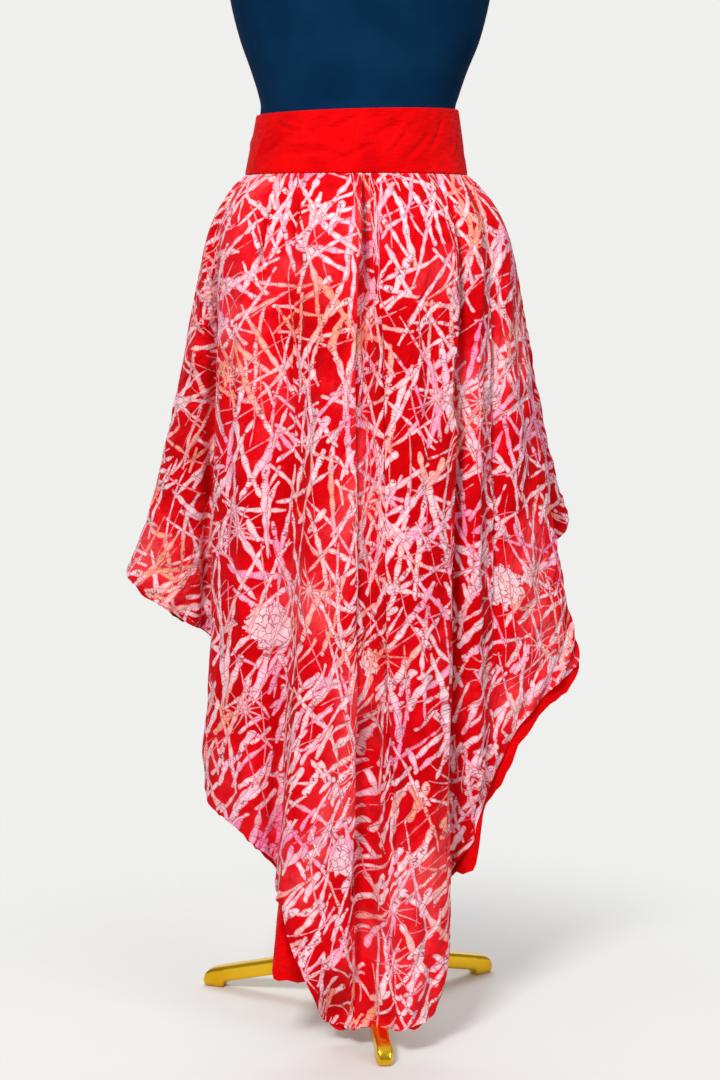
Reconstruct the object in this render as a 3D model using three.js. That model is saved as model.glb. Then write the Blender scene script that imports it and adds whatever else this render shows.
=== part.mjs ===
// A high-low skirt of printed cotton on a limbless dress form with a three-legged stand.
// Millimetres, +Z up, floor at z = 0. The long back of the skirt faces -Y and the short front faces +Y.
// The cloth is a thin wall drawn through fold lines: each line leaves the waist seam at its own bearing,
// swells over the hips and falls to its own place on the hem.
// Bearings are in degrees from -Y, positive towards +X.
import * as THREE from "three";

const GAP = 0.3; // between two pieces that touch
const SEAM_Z = 1039; // the seam between waistband and skirt
const HIP_Z = 889;
const CLOTH = 1.4; // printed cotton with its turned edges
const LINING = 1.2;
const FIT = 0.5; // ease between the waistband and the form

// Two ovals carry the waistband: its lower edge at the seam and its upper edge at the waist.
const SEAM_OVAL = { z: SEAM_Z, x: -5.5, width: 134.5, depth: 106 };
const WAIST_OVAL = { z: 1113, x: -3.5, width: 121.5, depth: 94 };
const BAND = 3; // folded and interfaced waistband
const BAND_TILT = 0.045; // share of its height by which it is taller on the right and lower on the left
const ROUND_STEPS = 60; // facets round the band and the form, so that one nests in the other

// Fold lines in order round the skirt. ridge lines stand out and valley lines fall back.
// seam: bearing at the waist seam. hip: place at hip height. hem: place and height of the hem.
// peek: how far the lining hangs below the print there.
const FOLD_LINES = [
  { line: "left_flare", seam: -90, hipX: -200, hipY: -5, hemX: -287, hemY: -8, hemZ: 550, peek: 3 },
  { line: "left_flare_back", seam: -80, hipX: -194, hipY: -44, hemX: -240, hemY: -36, hemZ: 515, peek: 3 },
  { line: "left_valley", seam: -71, hipX: -172, hipY: -58, hemX: -172, hemY: -26, hemZ: 452, peek: 3 },
  { line: "left_fold_edge", seam: -62, hipX: -166, hipY: -92, hemX: -192, hemY: -84, hemZ: 306, peek: 2 },
  { line: "left_fold", seam: -51, hipX: -142, hipY: -120, hemX: -152, hemY: -126, hemZ: 268, peek: 2 },
  { line: "left_pleat", seam: -40, hipX: -112, hipY: -124, hemX: -128, hemY: -134, hemZ: 246, peek: 2 },
  { line: "left_groove", seam: -31, hipX: -80, hipY: -134, hemX: -99, hemY: -112, hemZ: 206, peek: 3 },
  { line: "tail_left_a", seam: -24, hipX: -62, hipY: -152, hemX: -103, hemY: -134, hemZ: 166, peek: 12 },
  { line: "tail_left_b", seam: -18, hipX: -46, hipY: -160, hemX: -100, hemY: -164, hemZ: 126, peek: 34 },
  { line: "tail_left_c", seam: -12, hipX: -30, hipY: -164, hemX: -66, hemY: -180, hemZ: 64, peek: 8 },
  { line: "tail_left_d", seam: -7, hipX: -16, hipY: -163, hemX: -40, hemY: -184, hemZ: 40, peek: 2 },
  { line: "box_pleat_left", seam: -2, hipX: -3, hipY: -158, hemX: -8, hemY: -186, hemZ: 34, peek: 2 },
  { line: "box_pleat_bed", seam: 3, hipX: 10, hipY: -138, hemX: 14, hemY: -184, hemZ: 35, peek: 2 },
  { line: "box_pleat_right", seam: 8, hipX: 24, hipY: -157, hemX: 42, hemY: -188, hemZ: 34, peek: 2 },
  { line: "tail_right", seam: 20, hipX: 64, hipY: -158, hemX: 78, hemY: -182, hemZ: 43, peek: 2 },
  { line: "tail_right_edge", seam: 35, hipX: 110, hipY: -136, hemX: 105, hemY: -152, hemZ: 66, peek: 2 },
  { line: "right_valley", seam: 44, hipX: 106, hipY: -112, hemX: 90, hemY: -100, hemZ: 172, peek: 4 },
  { line: "right_fold", seam: 52, hipX: 140, hipY: -116, hemX: 140, hemY: -114, hemZ: 250, peek: 22 },
  { line: "right_groove", seam: 61, hipX: 152, hipY: -92, hemX: 160, hemY: -84, hemZ: 308, peek: 16 },
  { line: "right_flare_back", seam: 71, hipX: 180, hipY: -72, hemX: 214, hemY: -72, hemZ: 398, peek: 14 },
  { line: "right_flare", seam: 83, hipX: 192, hipY: -32, hemX: 268, hemY: -34, hemZ: 454, peek: 7 },
  { line: "right_valley_side", seam: 93, hipX: 184, hipY: -2, hemX: 218, hemY: 8, hemZ: 540, peek: 3 },
  { line: "right_front_fold", seam: 101, hipX: 199, hipY: 30, hemX: 262, hemY: 48, hemZ: 612, peek: 0 },
  { line: "front_right_a", seam: 112, hipX: 176, hipY: 68, hemX: 222, hemY: 92, hemZ: 602, peek: 0 },
  { line: "front_valley_a", seam: 123, hipX: 148, hipY: 94, hemX: 168, hemY: 96, hemZ: 598, peek: 0 },
  { line: "front_fold_a", seam: 135, hipX: 124, hipY: 124, hemX: 158, hemY: 164, hemZ: 606, peek: 0 },
  { line: "front_valley_b", seam: 148, hipX: 86, hipY: 132, hemX: 98, hemY: 134, hemZ: 606, peek: 0 },
  { line: "front_fold_b", seam: 160, hipX: 56, hipY: 152, hemX: 68, hemY: 190, hemZ: 612, peek: 0 },
  { line: "front_valley_c", seam: 172, hipX: 20, hipY: 144, hemX: 20, hemY: 144, hemZ: 610, peek: 0 },
  { line: "front_fold_c", seam: 184, hipX: -18, hipY: 154, hemX: -22, hemY: 193, hemZ: 612, peek: 0 },
  { line: "front_valley_d", seam: 197, hipX: -56, hipY: 140, hemX: -62, hemY: 140, hemZ: 606, peek: 0 },
  { line: "front_fold_d", seam: 210, hipX: -94, hipY: 140, hemX: -114, hemY: 180, hemZ: 602, peek: 0 },
  { line: "front_valley_e", seam: 223, hipX: -124, hipY: 110, hemX: -132, hemY: 110, hemZ: 592, peek: 0 },
  { line: "front_fold_e", seam: 236, hipX: -158, hipY: 98, hemX: -196, hemY: 136, hemZ: 586, peek: 0 },
  { line: "left_front_valley", seam: 249, hipX: -174, hipY: 58, hemX: -188, hemY: 62, hemZ: 570, peek: 0 },
  { line: "left_front_flare", seam: 260, hipX: -198, hipY: 30, hemX: -264, hemY: 52, hemZ: 562, peek: 3 },
];
const SWELL = 3.6; // how fast the pleats open below the seam
const HEM_KICK = 0.2; // share of a line's outward run that comes in its last stretch
const COLUMNS = 3; // facets between two fold lines
const ROWS = 15; // facets from seam to hem
const ROW_GROWTH = 1.35; // rows are closer together at the hips
const SEAMS = { left: "left_valley", right: "right_valley_side", back: "box_pleat_bed" };
const LINING_LEFT = "left_front_flare"; // the lining starts in front of the left flare's corner

// The form's sections from its underside to the top of its neck; front is the chest side.
// The waistband covers it between the two groups.
const FORM_BELOW = [
  { z: 800, x: -5, width: 150, front: 99, back: 106 },
  { z: 826, x: -5, width: 157, front: 103, back: 112 },
  { z: 870, x: -5, width: 162, front: 106, back: 117 },
  { z: 913, x: -5, width: 163, front: 106, back: 118 },
  { z: 955, x: -5, width: 158, front: 105, back: 115 },
  { z: 995, x: -5, width: 146, front: 102, back: 109 },
];
const FORM_ABOVE = [
  { z: 1132, x: -2.5, width: 120, front: 92, back: 90 },
  { z: 1160, x: -2, width: 129, front: 98, back: 93 },
  { z: 1200, x: -1, width: 144, front: 109, back: 97 },
  { z: 1245, x: -1, width: 155, front: 124, back: 103 },
  { z: 1285, x: -1, width: 161, front: 134, back: 107 },
  { z: 1322, x: -1, width: 163, front: 131, back: 110 },
  { z: 1360, x: -1, width: 165, front: 116, back: 112 },
  { z: 1400, x: -1, width: 169, front: 99, back: 110 },
  { z: 1436, x: -1, width: 171, front: 86, back: 103 },
  { z: 1460, x: -1, width: 167, front: 76, back: 94 },
  { z: 1478, x: -1, width: 154, front: 69, back: 85 },
  { z: 1492, x: -1, width: 131, front: 63, back: 76 },
  { z: 1504, x: -1, width: 103, front: 58, back: 68 },
  { z: 1518, x: -1, width: 76, front: 54, back: 61 },
  { z: 1536, x: -1, width: 61, front: 52, back: 56 },
  { z: 1575, x: -1, width: 54, front: 50, back: 52 },
];
const NECK_CAP = { radius: 48, height: 14 };

// The stand: a pole in a hub with three cast legs, each ending in a flat foot.
const STAND_X = -1;
const POLE_RADIUS = 12;
const SOCKET = { radius: 34, height: 14 };
const HUB = { apothem: 24, low: 42, high: 86 };
// A leg slopes from its root at the hub down to the foot; heights are of its underside and top.
const LEG = { bearing: 8, reach: 218, width: 18, bevel: 2, rootLow: 52, rootHigh: 70, tipLow: 8, tipHigh: 25 };
const FOOT_LENGTH = 26;
const BAND_JOINS = { side: 72, back: 6 }; // bearings of the waistband's own seams

const radians = THREE.MathUtils.degToRad;

// The point of an oval at a bearing; front and back may differ in depth.
function ovalPoint(oval, bearing, inset = 0) {
  const angle = radians(bearing);
  const depth = Math.cos(angle) < 0 ? oval.front ?? oval.depth : oval.back ?? oval.depth;
  return new THREE.Vector3(
    oval.x + (oval.width - inset) * Math.sin(angle),
    -(depth - inset) * Math.cos(angle),
    oval.z,
  );
}

// A closed body from a grid of points: outer[j][i] and inner[j][i], rows downwards, columns round.
// Its edges are closed by rims, and a full ring needs no side rims.
function wallBody(outer, inner, ring = false) {
  const rows = outer.length;
  const columns = outer[0].length;
  const position = [...outer.flat(), ...inner.flat()].flatMap((p) => [p.x, p.y, p.z]);
  const at = (side, j, i) => side * rows * columns + j * columns + (i % columns);
  const index = [];
  const quad = (a, b, c, d) => index.push(a, b, c, a, c, d);
  const last = ring ? columns : columns - 1;
  for (let j = 0; j + 1 < rows; j++) {
    for (let i = 0; i < last; i++) {
      quad(at(0, j, i), at(0, j + 1, i), at(0, j + 1, i + 1), at(0, j, i + 1));
      quad(at(1, j, i), at(1, j, i + 1), at(1, j + 1, i + 1), at(1, j + 1, i));
    }
  }
  for (let i = 0; i < last; i++) {
    quad(at(0, 0, i), at(0, 0, i + 1), at(1, 0, i + 1), at(1, 0, i));
    quad(at(0, rows - 1, i), at(1, rows - 1, i), at(1, rows - 1, i + 1), at(0, rows - 1, i + 1));
  }
  for (let j = 0; j + 1 < rows && !ring; j++) {
    quad(at(0, j, 0), at(1, j, 0), at(1, j + 1, 0), at(0, j + 1, 0));
    quad(at(0, j, last), at(0, j + 1, last), at(1, j + 1, last), at(1, j, last));
  }
  return bufferBody(position, index);
}

// A closed body lofted through rings of points, with a flat cap at each end.
function loftBody(rings) {
  const count = rings[0].length;
  const position = rings.flat().flatMap((p) => [p.x, p.y, p.z]);
  const index = [];
  for (let j = 0; j + 1 < rings.length; j++) {
    for (let i = 0; i < count; i++) {
      const next = (i + 1) % count;
      const low = j * count;
      const high = low + count;
      index.push(low + i, low + next, high + next, low + i, high + next, high + i);
    }
  }
  for (const [ring, turned] of [[0, true], [rings.length - 1, false]]) {
    const centre = position.length / 3;
    const middle = rings[ring].reduce((sum, p) => sum.add(p), new THREE.Vector3()).divideScalar(count);
    position.push(middle.x, middle.y, middle.z);
    for (let i = 0; i < count; i++) {
      const a = ring * count + i;
      const b = ring * count + ((i + 1) % count);
      index.push(centre, turned ? b : a, turned ? a : b);
    }
  }
  return bufferBody(position, index);
}

function bufferBody(position, index) {
  const geometry = new THREE.BufferGeometry();
  geometry.setAttribute("position", new THREE.Float32BufferAttribute(position, 3));
  geometry.setIndex(index);
  geometry.computeVertexNormals();
  return geometry;
}

// Where a fold line is, a share of its way from seam (0) to hem (1); past 1 it runs on below the hem.
function linePoint(fold, share) {
  const z = SEAM_Z - GAP - share * (SEAM_Z - GAP - fold.hemZ);
  const seam = ovalPoint(SEAM_OVAL, fold.seam);
  const hip = new THREE.Vector3(fold.hipX, fold.hipY, 0);
  const run = new THREE.Vector3(fold.hemX - fold.hipX, fold.hemY - fold.hipY, 0);
  seam.z = 0;
  if (z < HIP_Z) {
    const t = (HIP_Z - z) / (HIP_Z - fold.hemZ);
    return hip.addScaledVector(run, (1 - HEM_KICK) * t + HEM_KICK * t ** 4).setZ(z);
  }
  const t = (SEAM_Z - z) / (SEAM_Z - HIP_Z);
  const slope = run.multiplyScalar(((1 - HEM_KICK) * (SEAM_Z - HIP_Z)) / (HIP_Z - fold.hemZ));
  const swell = hip.sub(seam).sub(slope);
  return seam.addScaledVector(swell, 1 - (1 - t) ** SWELL).addScaledVector(slope, t).setZ(z);
}

// Smooth curve through four values in a row, between the middle two.
function smooth(a, b, c, d, t) {
  return b + 0.5 * t * (c - a + t * (2 * a - 5 * b + 4 * c - d + t * (3 * (b - c) + d - a)));
}

const lineAt = (i) => FOLD_LINES[((i % FOLD_LINES.length) + FOLD_LINES.length) % FOLD_LINES.length];
const lineIndex = (name) => FOLD_LINES.findIndex((fold) => fold.line === name);

// The skirt's surface: u counts fold lines round the skirt, v runs from seam (0) to hem (1).
// From 1 to 2 it goes on over the length by which the lining shows.
function skirtPoint(u, v) {
  const i = Math.floor(u);
  const share = (fold) => (v <= 1 ? v : 1 + ((v - 1) * fold.peek) / (SEAM_Z - fold.hemZ));
  const [a, b, c, d] = [-1, 0, 1, 2].map((k) => linePoint(lineAt(i + k), share(lineAt(i + k))));
  const mix = (axis) => smooth(a[axis], b[axis], c[axis], d[axis], u - i);
  return new THREE.Vector3(mix("x"), mix("y"), mix("z"));
}

// The outward direction of the skirt's surface.
function skirtNormal(u, v) {
  const step = 0.02;
  const round = skirtPoint(u + step, v).sub(skirtPoint(u - step, v));
  const down = skirtPoint(u, Math.min(1, v + step)).sub(skirtPoint(u, Math.max(0, v - step)));
  return down.cross(round).normalize();
}

// A panel of cloth from one fold line to another, its wall between two depths under the print's face.
function panelBody(fromLine, toLine, depthOut, depthIn, pastHem = []) {
  const from = lineIndex(fromLine);
  let to = lineIndex(toLine);
  if (to <= from) to += FOLD_LINES.length;
  const columns = (to - from) * COLUMNS;
  const levels = Array.from({ length: ROWS + 1 }, (_, j) => (j / ROWS) ** ROW_GROWTH);
  const outer = [];
  const inner = [];
  for (const v of [...levels, ...pastHem]) {
    const outerRow = [];
    const innerRow = [];
    for (let i = 0; i <= columns; i++) {
      const u = from + i / COLUMNS;
      const point = skirtPoint(u, v);
      const normal = skirtNormal(u, Math.min(v, 1));
      if (i === 0 || i === columns) {
        point.add(skirtPoint(u + (i === 0 ? 0.1 : -0.1), v).sub(point).setLength(GAP / 2));
      }
      outerRow.push(point.clone().addScaledVector(normal, -depthOut));
      innerRow.push(point.clone().addScaledVector(normal, -depthIn));
    }
    outer.push(outerRow);
    inner.push(innerRow);
  }
  return wallBody(outer, inner);
}

// A level of the band between its two ovals.
function bandOval(share) {
  const mix = (key) => THREE.MathUtils.lerp(SEAM_OVAL[key], WAIST_OVAL[key], share);
  return { x: mix("x"), width: mix("width"), depth: mix("depth"), z: mix("z") };
}

// A stretch of waistband between two bearings.
function bandBody(fromBearing, toBearing) {
  const steps = Math.round(((toBearing - fromBearing) / 360) * ROUND_STEPS);
  const outer = [];
  const inner = [];
  const edge = (GAP / 2 / SEAM_OVAL.depth) * THREE.MathUtils.RAD2DEG;
  for (const share of [1, 0.5, 0]) {
    const row = (inset) =>
      Array.from({ length: steps + 1 }, (_, i) => {
        const trim = i === 0 ? edge : i === steps ? -edge : 0;
        const bearing = fromBearing + (i * (toBearing - fromBearing)) / steps + trim;
        const level = share * (1 + BAND_TILT * Math.sin(radians(bearing)));
        return ovalPoint(bandOval(level), bearing, inset);
      });
    outer.push(row(0));
    inner.push(row(BAND));
  }
  return wallBody(outer, inner);
}

// The form: inside the band it follows the band's inner face, and elsewhere its own sections.
function formBody() {
  const inBand = [-0.03, 0.5, 1.08].map((share) => {
    const oval = bandOval(share);
    const inset = BAND + FIT;
    return { ...oval, width: oval.width - inset, front: oval.depth - inset, back: oval.depth - inset };
  });
  const sections = [...FORM_BELOW, ...inBand, ...FORM_ABOVE];
  const rings = sections.map((section) =>
    Array.from({ length: ROUND_STEPS }, (_, i) => ovalPoint(section, (i * 360) / ROUND_STEPS)),
  );
  return loftBody(rings);
}

// A leg's side outline, extruded across its width and laid along +X from the hub to its foot.
function legBody() {
  const start = HUB.apothem + GAP + LEG.bevel;
  const end = LEG.reach - LEG.bevel;
  const tip = LEG.tipHigh - LEG.bevel;
  const outline = new THREE.Shape();
  outline.moveTo(start, LEG.rootLow + LEG.bevel);
  outline.lineTo(end - FOOT_LENGTH, LEG.tipLow + LEG.bevel);
  outline.lineTo(end - FOOT_LENGTH + 2, LEG.bevel);
  outline.lineTo(end - 4, LEG.bevel);
  outline.quadraticCurveTo(end, LEG.bevel, end, LEG.bevel + 6);
  outline.quadraticCurveTo(end, tip - 1, end - 14, tip);
  outline.lineTo(start, LEG.rootHigh - LEG.bevel);
  outline.closePath();
  const body = new THREE.ExtrudeGeometry(outline, {
    depth: LEG.width - 2 * LEG.bevel,
    bevelThickness: LEG.bevel,
    bevelSize: LEG.bevel,
    bevelSegments: 2,
    curveSegments: 5,
  });
  return body.rotateX(Math.PI / 2).translate(0, LEG.width / 2 - LEG.bevel, 0);
}

// A body turned about the upright axis from radius and height pairs.
function turnedBody(profile, segments = 40) {
  const points = profile.map(([radius, z]) => new THREE.Vector2(radius, z));
  return new THREE.LatheGeometry(points, segments).rotateX(Math.PI / 2);
}

const MATERIALS = {
  print: { color: 0xe0404a, roughness: 0.85 },
  plain_red: { color: 0xd8121c, roughness: 0.85 },
  form_cover: { color: 0x12304f, roughness: 0.8 },
  brass: { color: 0xb88a1e, roughness: 0.25, metalness: 1 },
};

const part = new THREE.Group();

function addPiece(name, geometry, finish) {
  const piece = new THREE.Mesh(geometry, new THREE.MeshStandardMaterial(MATERIALS[finish]));
  piece.name = name;
  part.add(piece);
  return piece;
}

const { left, right, back } = SEAMS;
const liningOut = CLOTH + GAP;
const liningIn = liningOut + LINING;
addPiece("skirt_back_left", panelBody(left, back, 0, CLOTH), "print");
addPiece("skirt_back_right", panelBody(back, right, 0, CLOTH), "print");
addPiece("skirt_front", panelBody(right, left, 0, CLOTH), "print");
addPiece("lining_left", panelBody(LINING_LEFT, back, liningOut, liningIn, [1.5, 2]), "plain_red");
addPiece("lining_right", panelBody(back, right, liningOut, liningIn, [1.5, 2]), "plain_red");

addPiece("waistband_back_left", bandBody(-BAND_JOINS.side, BAND_JOINS.back), "plain_red");
addPiece("waistband_back_right", bandBody(BAND_JOINS.back, BAND_JOINS.side), "plain_red");
addPiece("waistband_front", bandBody(BAND_JOINS.side, 360 - BAND_JOINS.side), "plain_red");

addPiece("form_torso", formBody(), "form_cover");
const neck = FORM_ABOVE.at(-1);
const capTop = neck.z + GAP + NECK_CAP.height;
const capProfile = [
  [0, neck.z + GAP],
  [NECK_CAP.radius - 3, neck.z + GAP],
  [NECK_CAP.radius, neck.z + GAP + 3],
  [NECK_CAP.radius, capTop - 4],
  [NECK_CAP.radius - 5, capTop],
  [0, capTop],
];
addPiece("neck_cap", turnedBody(capProfile).translate(neck.x, 0, 0), "brass");

const formBottom = FORM_BELOW[0].z;
const socketTop = formBottom - GAP;
const socketProfile = [
  [0, socketTop - SOCKET.height],
  [POLE_RADIUS + 8, socketTop - SOCKET.height],
  [SOCKET.radius, socketTop - 5],
  [SOCKET.radius, socketTop],
  [0, socketTop],
];
addPiece("pole_socket", turnedBody(socketProfile).translate(STAND_X, 0, 0), "brass");

const poleTop = socketTop - SOCKET.height - GAP;
const poleProfile = [
  [0, HUB.high + GAP],
  [POLE_RADIUS, HUB.high + GAP],
  [POLE_RADIUS, poleTop],
  [0, poleTop],
];
addPiece("pole", turnedBody(poleProfile, 32).translate(STAND_X, 0, 0), "brass");

// The hub is six-sided, with a flat towards each leg.
const hubRadius = HUB.apothem / Math.cos(Math.PI / 6);
const hubProfile = [
  [0, HUB.low],
  [hubRadius - 4, HUB.low],
  [hubRadius, HUB.low + 4],
  [hubRadius, HUB.high - 4],
  [hubRadius - 4, HUB.high],
  [0, HUB.high],
];
const firstLeg = radians(LEG.bearing - 90);
addPiece("hub", turnedBody(hubProfile, 6).rotateZ(firstLeg).translate(STAND_X, 0, 0), "brass");

for (const [i, name] of ["leg_front", "leg_right", "leg_left"].entries()) {
  const turn = firstLeg + (i * 2 * Math.PI) / 3;
  addPiece(name, legBody().rotateZ(turn).translate(STAND_X, 0, 0), "brass");
}

// The middle of the whole goes over the origin; the feet stay on the floor.
const middle = new THREE.Box3().setFromObject(part).getCenter(new THREE.Vector3());
for (const piece of part.children) piece.geometry.translate(-middle.x, -middle.y, 0);

export default part;
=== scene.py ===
"""A high-low skirt of wax-printed cotton on a limbless dress form with a brass tripod stand.

Metres, in the part's frame. The long back faces -Y. The cloth is drawn through the same fold lines
as the part's solid walls, at a finer step, with its creases, turned hems and print added.
"""
import math

import bpy
import numpy as np
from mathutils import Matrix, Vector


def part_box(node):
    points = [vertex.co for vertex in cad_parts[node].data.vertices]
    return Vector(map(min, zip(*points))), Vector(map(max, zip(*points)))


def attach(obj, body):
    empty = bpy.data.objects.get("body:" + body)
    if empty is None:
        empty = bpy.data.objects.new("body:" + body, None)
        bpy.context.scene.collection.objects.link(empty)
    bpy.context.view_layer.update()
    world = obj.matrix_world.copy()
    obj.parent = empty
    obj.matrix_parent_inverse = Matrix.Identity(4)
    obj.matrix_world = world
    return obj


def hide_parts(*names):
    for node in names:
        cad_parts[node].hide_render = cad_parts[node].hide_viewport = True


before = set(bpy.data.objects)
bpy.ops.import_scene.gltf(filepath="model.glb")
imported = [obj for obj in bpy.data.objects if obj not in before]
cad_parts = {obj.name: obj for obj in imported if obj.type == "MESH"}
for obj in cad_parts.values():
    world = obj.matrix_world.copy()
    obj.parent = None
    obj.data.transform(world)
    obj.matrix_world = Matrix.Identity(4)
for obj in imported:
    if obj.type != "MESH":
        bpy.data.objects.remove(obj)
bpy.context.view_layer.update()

MM = 0.001
pole_low, pole_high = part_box("pole")
POLE_X = (pole_low.x + pole_high.x) / 2
POLE_Y = (pole_low.y + pole_high.y) / 2
# Sizes below count from a plane 1 mm to the wearer's right of the pole's axis.
SHIFT = np.array([POLE_X / MM + 1, POLE_Y / MM, 0])

# ---------------------------------------------------------------- camera
CAMERA_AWAY = 2.69
CAMERA_HEIGHT = 0.952
CAMERA_DIP = 0.132  # radians below level
CAMERA_LENS = 73.3  # millimetres
camera_data = bpy.data.cameras.new("camera")
camera_data.lens = CAMERA_LENS
camera_data.sensor_width = 36
camera = bpy.data.objects.new("camera", camera_data)
camera.location = (POLE_X, POLE_Y - CAMERA_AWAY, CAMERA_HEIGHT)
camera.rotation_euler = (math.pi / 2 - CAMERA_DIP, 0, 0)
bpy.context.scene.collection.objects.link(camera)
bpy.context.scene.camera = camera
bpy.context.scene.view_settings.view_transform = "Standard"

# ---------------------------------------------------------------- sizes, in millimetres
GAP = 0.3
SEAM_Z = 1039
HIP_Z = 889
SEAM_OVAL = dict(z=SEAM_Z, x=-5.5, width=134.5, depth=106)
WAIST_OVAL = dict(z=1113, x=-3.5, width=121.5, depth=94)
BAND = 3.0  # room that the waistband takes outside its ease
BAND_TILT = 0.045  # share of its height by which it is taller on the right and lower on the left
BAND_CLOTH = 2.5  # thickness of the folded and interfaced band
FIT = 0.5  # ease between the waistband and the form
SWELL = 3.6  # how fast the pleats open below the seam
HEM_KICK = 0.2  # share of a fold line's outward run that comes in its last stretch
PRINT_CLOTH = 1.0
LINING_CLOTH = 0.8
LINING_UNDER = 1.7  # the lining's face lies this far under the print's face
FORM_CLEAR = 3.4  # the print's face stays this far off the form

# bearing at the seam; x, y at the hip; x, y, height at the hem; how far the lining hangs lower
FOLD_LINES = {
    "left_flare": (-90, -200, -5, -287, -8, 550, 3),
    "left_flare_back": (-80, -194, -44, -240, -36, 515, 3),
    "left_valley": (-71, -172, -58, -172, -26, 452, 3),
    "left_fold_edge": (-62, -166, -92, -192, -84, 306, 2),
    "left_fold": (-51, -142, -120, -152, -126, 268, 2),
    "left_pleat": (-40, -112, -124, -128, -134, 246, 2),
    "left_groove": (-31, -80, -134, -99, -112, 206, 3),
    "tail_left_a": (-24, -62, -152, -103, -134, 166, 12),
    "tail_left_b": (-18, -46, -160, -100, -164, 126, 34),
    "tail_left_c": (-12, -30, -164, -66, -180, 64, 8),
    "tail_left_d": (-7, -16, -163, -40, -184, 40, 2),
    "box_pleat_left": (-2, -3, -158, -8, -186, 34, 2),
    "box_pleat_bed": (3, 10, -138, 14, -184, 35, 2),
    "box_pleat_right": (8, 24, -157, 42, -188, 34, 2),
    "tail_right": (20, 64, -158, 78, -182, 43, 2),
    "tail_right_edge": (35, 110, -136, 105, -152, 66, 2),
    "right_valley": (44, 106, -112, 90, -100, 172, 4),
    "right_fold": (52, 140, -116, 140, -114, 250, 22),
    "right_groove": (61, 152, -92, 160, -84, 308, 16),
    "right_flare_back": (71, 180, -72, 214, -72, 398, 14),
    "right_flare": (83, 192, -32, 268, -34, 454, 7),
    "right_valley_side": (93, 184, -2, 218, 8, 540, 3),
    "right_front_fold": (101, 199, 30, 262, 48, 612, 0),
    "front_right_a": (112, 176, 68, 222, 92, 602, 0),
    "front_valley_a": (123, 148, 94, 168, 96, 598, 0),
    "front_fold_a": (135, 124, 124, 158, 164, 606, 0),
    "front_valley_b": (148, 86, 132, 98, 134, 606, 0),
    "front_fold_b": (160, 56, 152, 68, 190, 612, 0),
    "front_valley_c": (172, 20, 144, 20, 144, 610, 0),
    "front_fold_c": (184, -18, 154, -22, 193, 612, 0),
    "front_valley_d": (197, -56, 140, -62, 140, 606, 0),
    "front_fold_d": (210, -94, 140, -114, 180, 602, 0),
    "front_valley_e": (223, -124, 110, -132, 110, 592, 0),
    "front_fold_e": (236, -158, 98, -196, 136, 586, 0),
    "left_front_valley": (249, -174, 58, -188, 62, 570, 0),
    "left_front_flare": (260, -198, 30, -264, 52, 562, 3),
}
LINES = np.array(list(FOLD_LINES.values()), float)
LINE_COUNT = len(LINES)

# A place round the skirt counts fold lines: 0 is left_flare, 12 the bed of the box pleat, 28 the
# centre front, and 36 comes round to left_flare again. A crease follows a path of (place, height),
# from the top down. width is across its slope, depth is outwards above 0 and inwards below. lean is
# how far a folded edge lies over the cloth beside it, towards higher places above 0.
FOLDED_EDGES = [
    # path, width, depth, lean
    ([(5.75, 1037), (5.36, 1019), (5.02, 996), (4.95, 960), (4.86, 905)], 1.5, 12, -1.2),
    ([(6.5, 1024), (6.3, 990), (6.14, 970), (6.14, 858), (6.16, 800), (6.38, 742), (6.6, 684), (6.7, 590)],
     1.5, 11, -1),
    ([(12, 1038), (11.58, 1007), (10.96, 938), (10.88, 892), (10.8, 820), (10.88, 733), (11.02, 620)],
     1.5, 18, 1.6),
    ([(10.98, 690), (11.08, 600), (10.98, 534), (11.1, 430), (10.96, 350), (11.04, 280)], 2.2, 10, 1.5),
    ([(11.1, 430), (11.0, 330), (11.06, 280), (10.86, 215), (10.7, 140), (10.78, 90), (11.05, 40),
      (11.2, -10)], 2.8, 14, 1.2),
    ([(12.3, 1038), (12.44, 1007), (12.46, 950), (12.92, 892), (13.08, 842), (13.04, 743), (13, 675),
      (12.95, 580)], 1.6, 14, -1.4),
    ([(12.95, 640), (12.98, 430), (13.2, 311), (13.2, 216), (13.2, 120)], 1.8, 9, -1),
    ([(15.75, 1037), (15.8, 1001), (15.5, 986), (15.3, 970), (15.3, 938), (15.25, 892), (15.05, 841),
      (14.88, 823), (14.86, 778), (15.1, 730), (15.2, 693), (15.14, 654), (15.02, 613), (14.86, 544),
      (14.8, 449), (14.8, 353), (14.76, 245), (14.8, 130)], 1.6, 14, 1.4),
    ([(18, 900), (17.96, 790), (18, 714), (18.1, 654), (18.04, 564), (18.1, 450)], 1.7, 11, 1.2),
    ([(20.5, 1000), (20.6, 860), (20.5, 740)], 2.0, 9, -1),
    ([(23.8, 1037), (23.9, 980), (24, 880), (24.1, 720)], 1.8, 12, 1.5),
    ([(27.7, 1037), (27.8, 960), (27.7, 840), (27.8, 690)], 1.7, 14, 1.5),
    ([(28.4, 1037), (28.3, 960), (28.4, 850), (28.3, 700)], 1.7, 13, -1.5),
    ([(32.1, 1037), (32, 970), (31.9, 860), (32, 710)], 1.8, 12, -1.5),
    ([(34.4, 1037), (34.2, 930), (34.1, 780)], 1.9, 10, -1),
]
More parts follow.
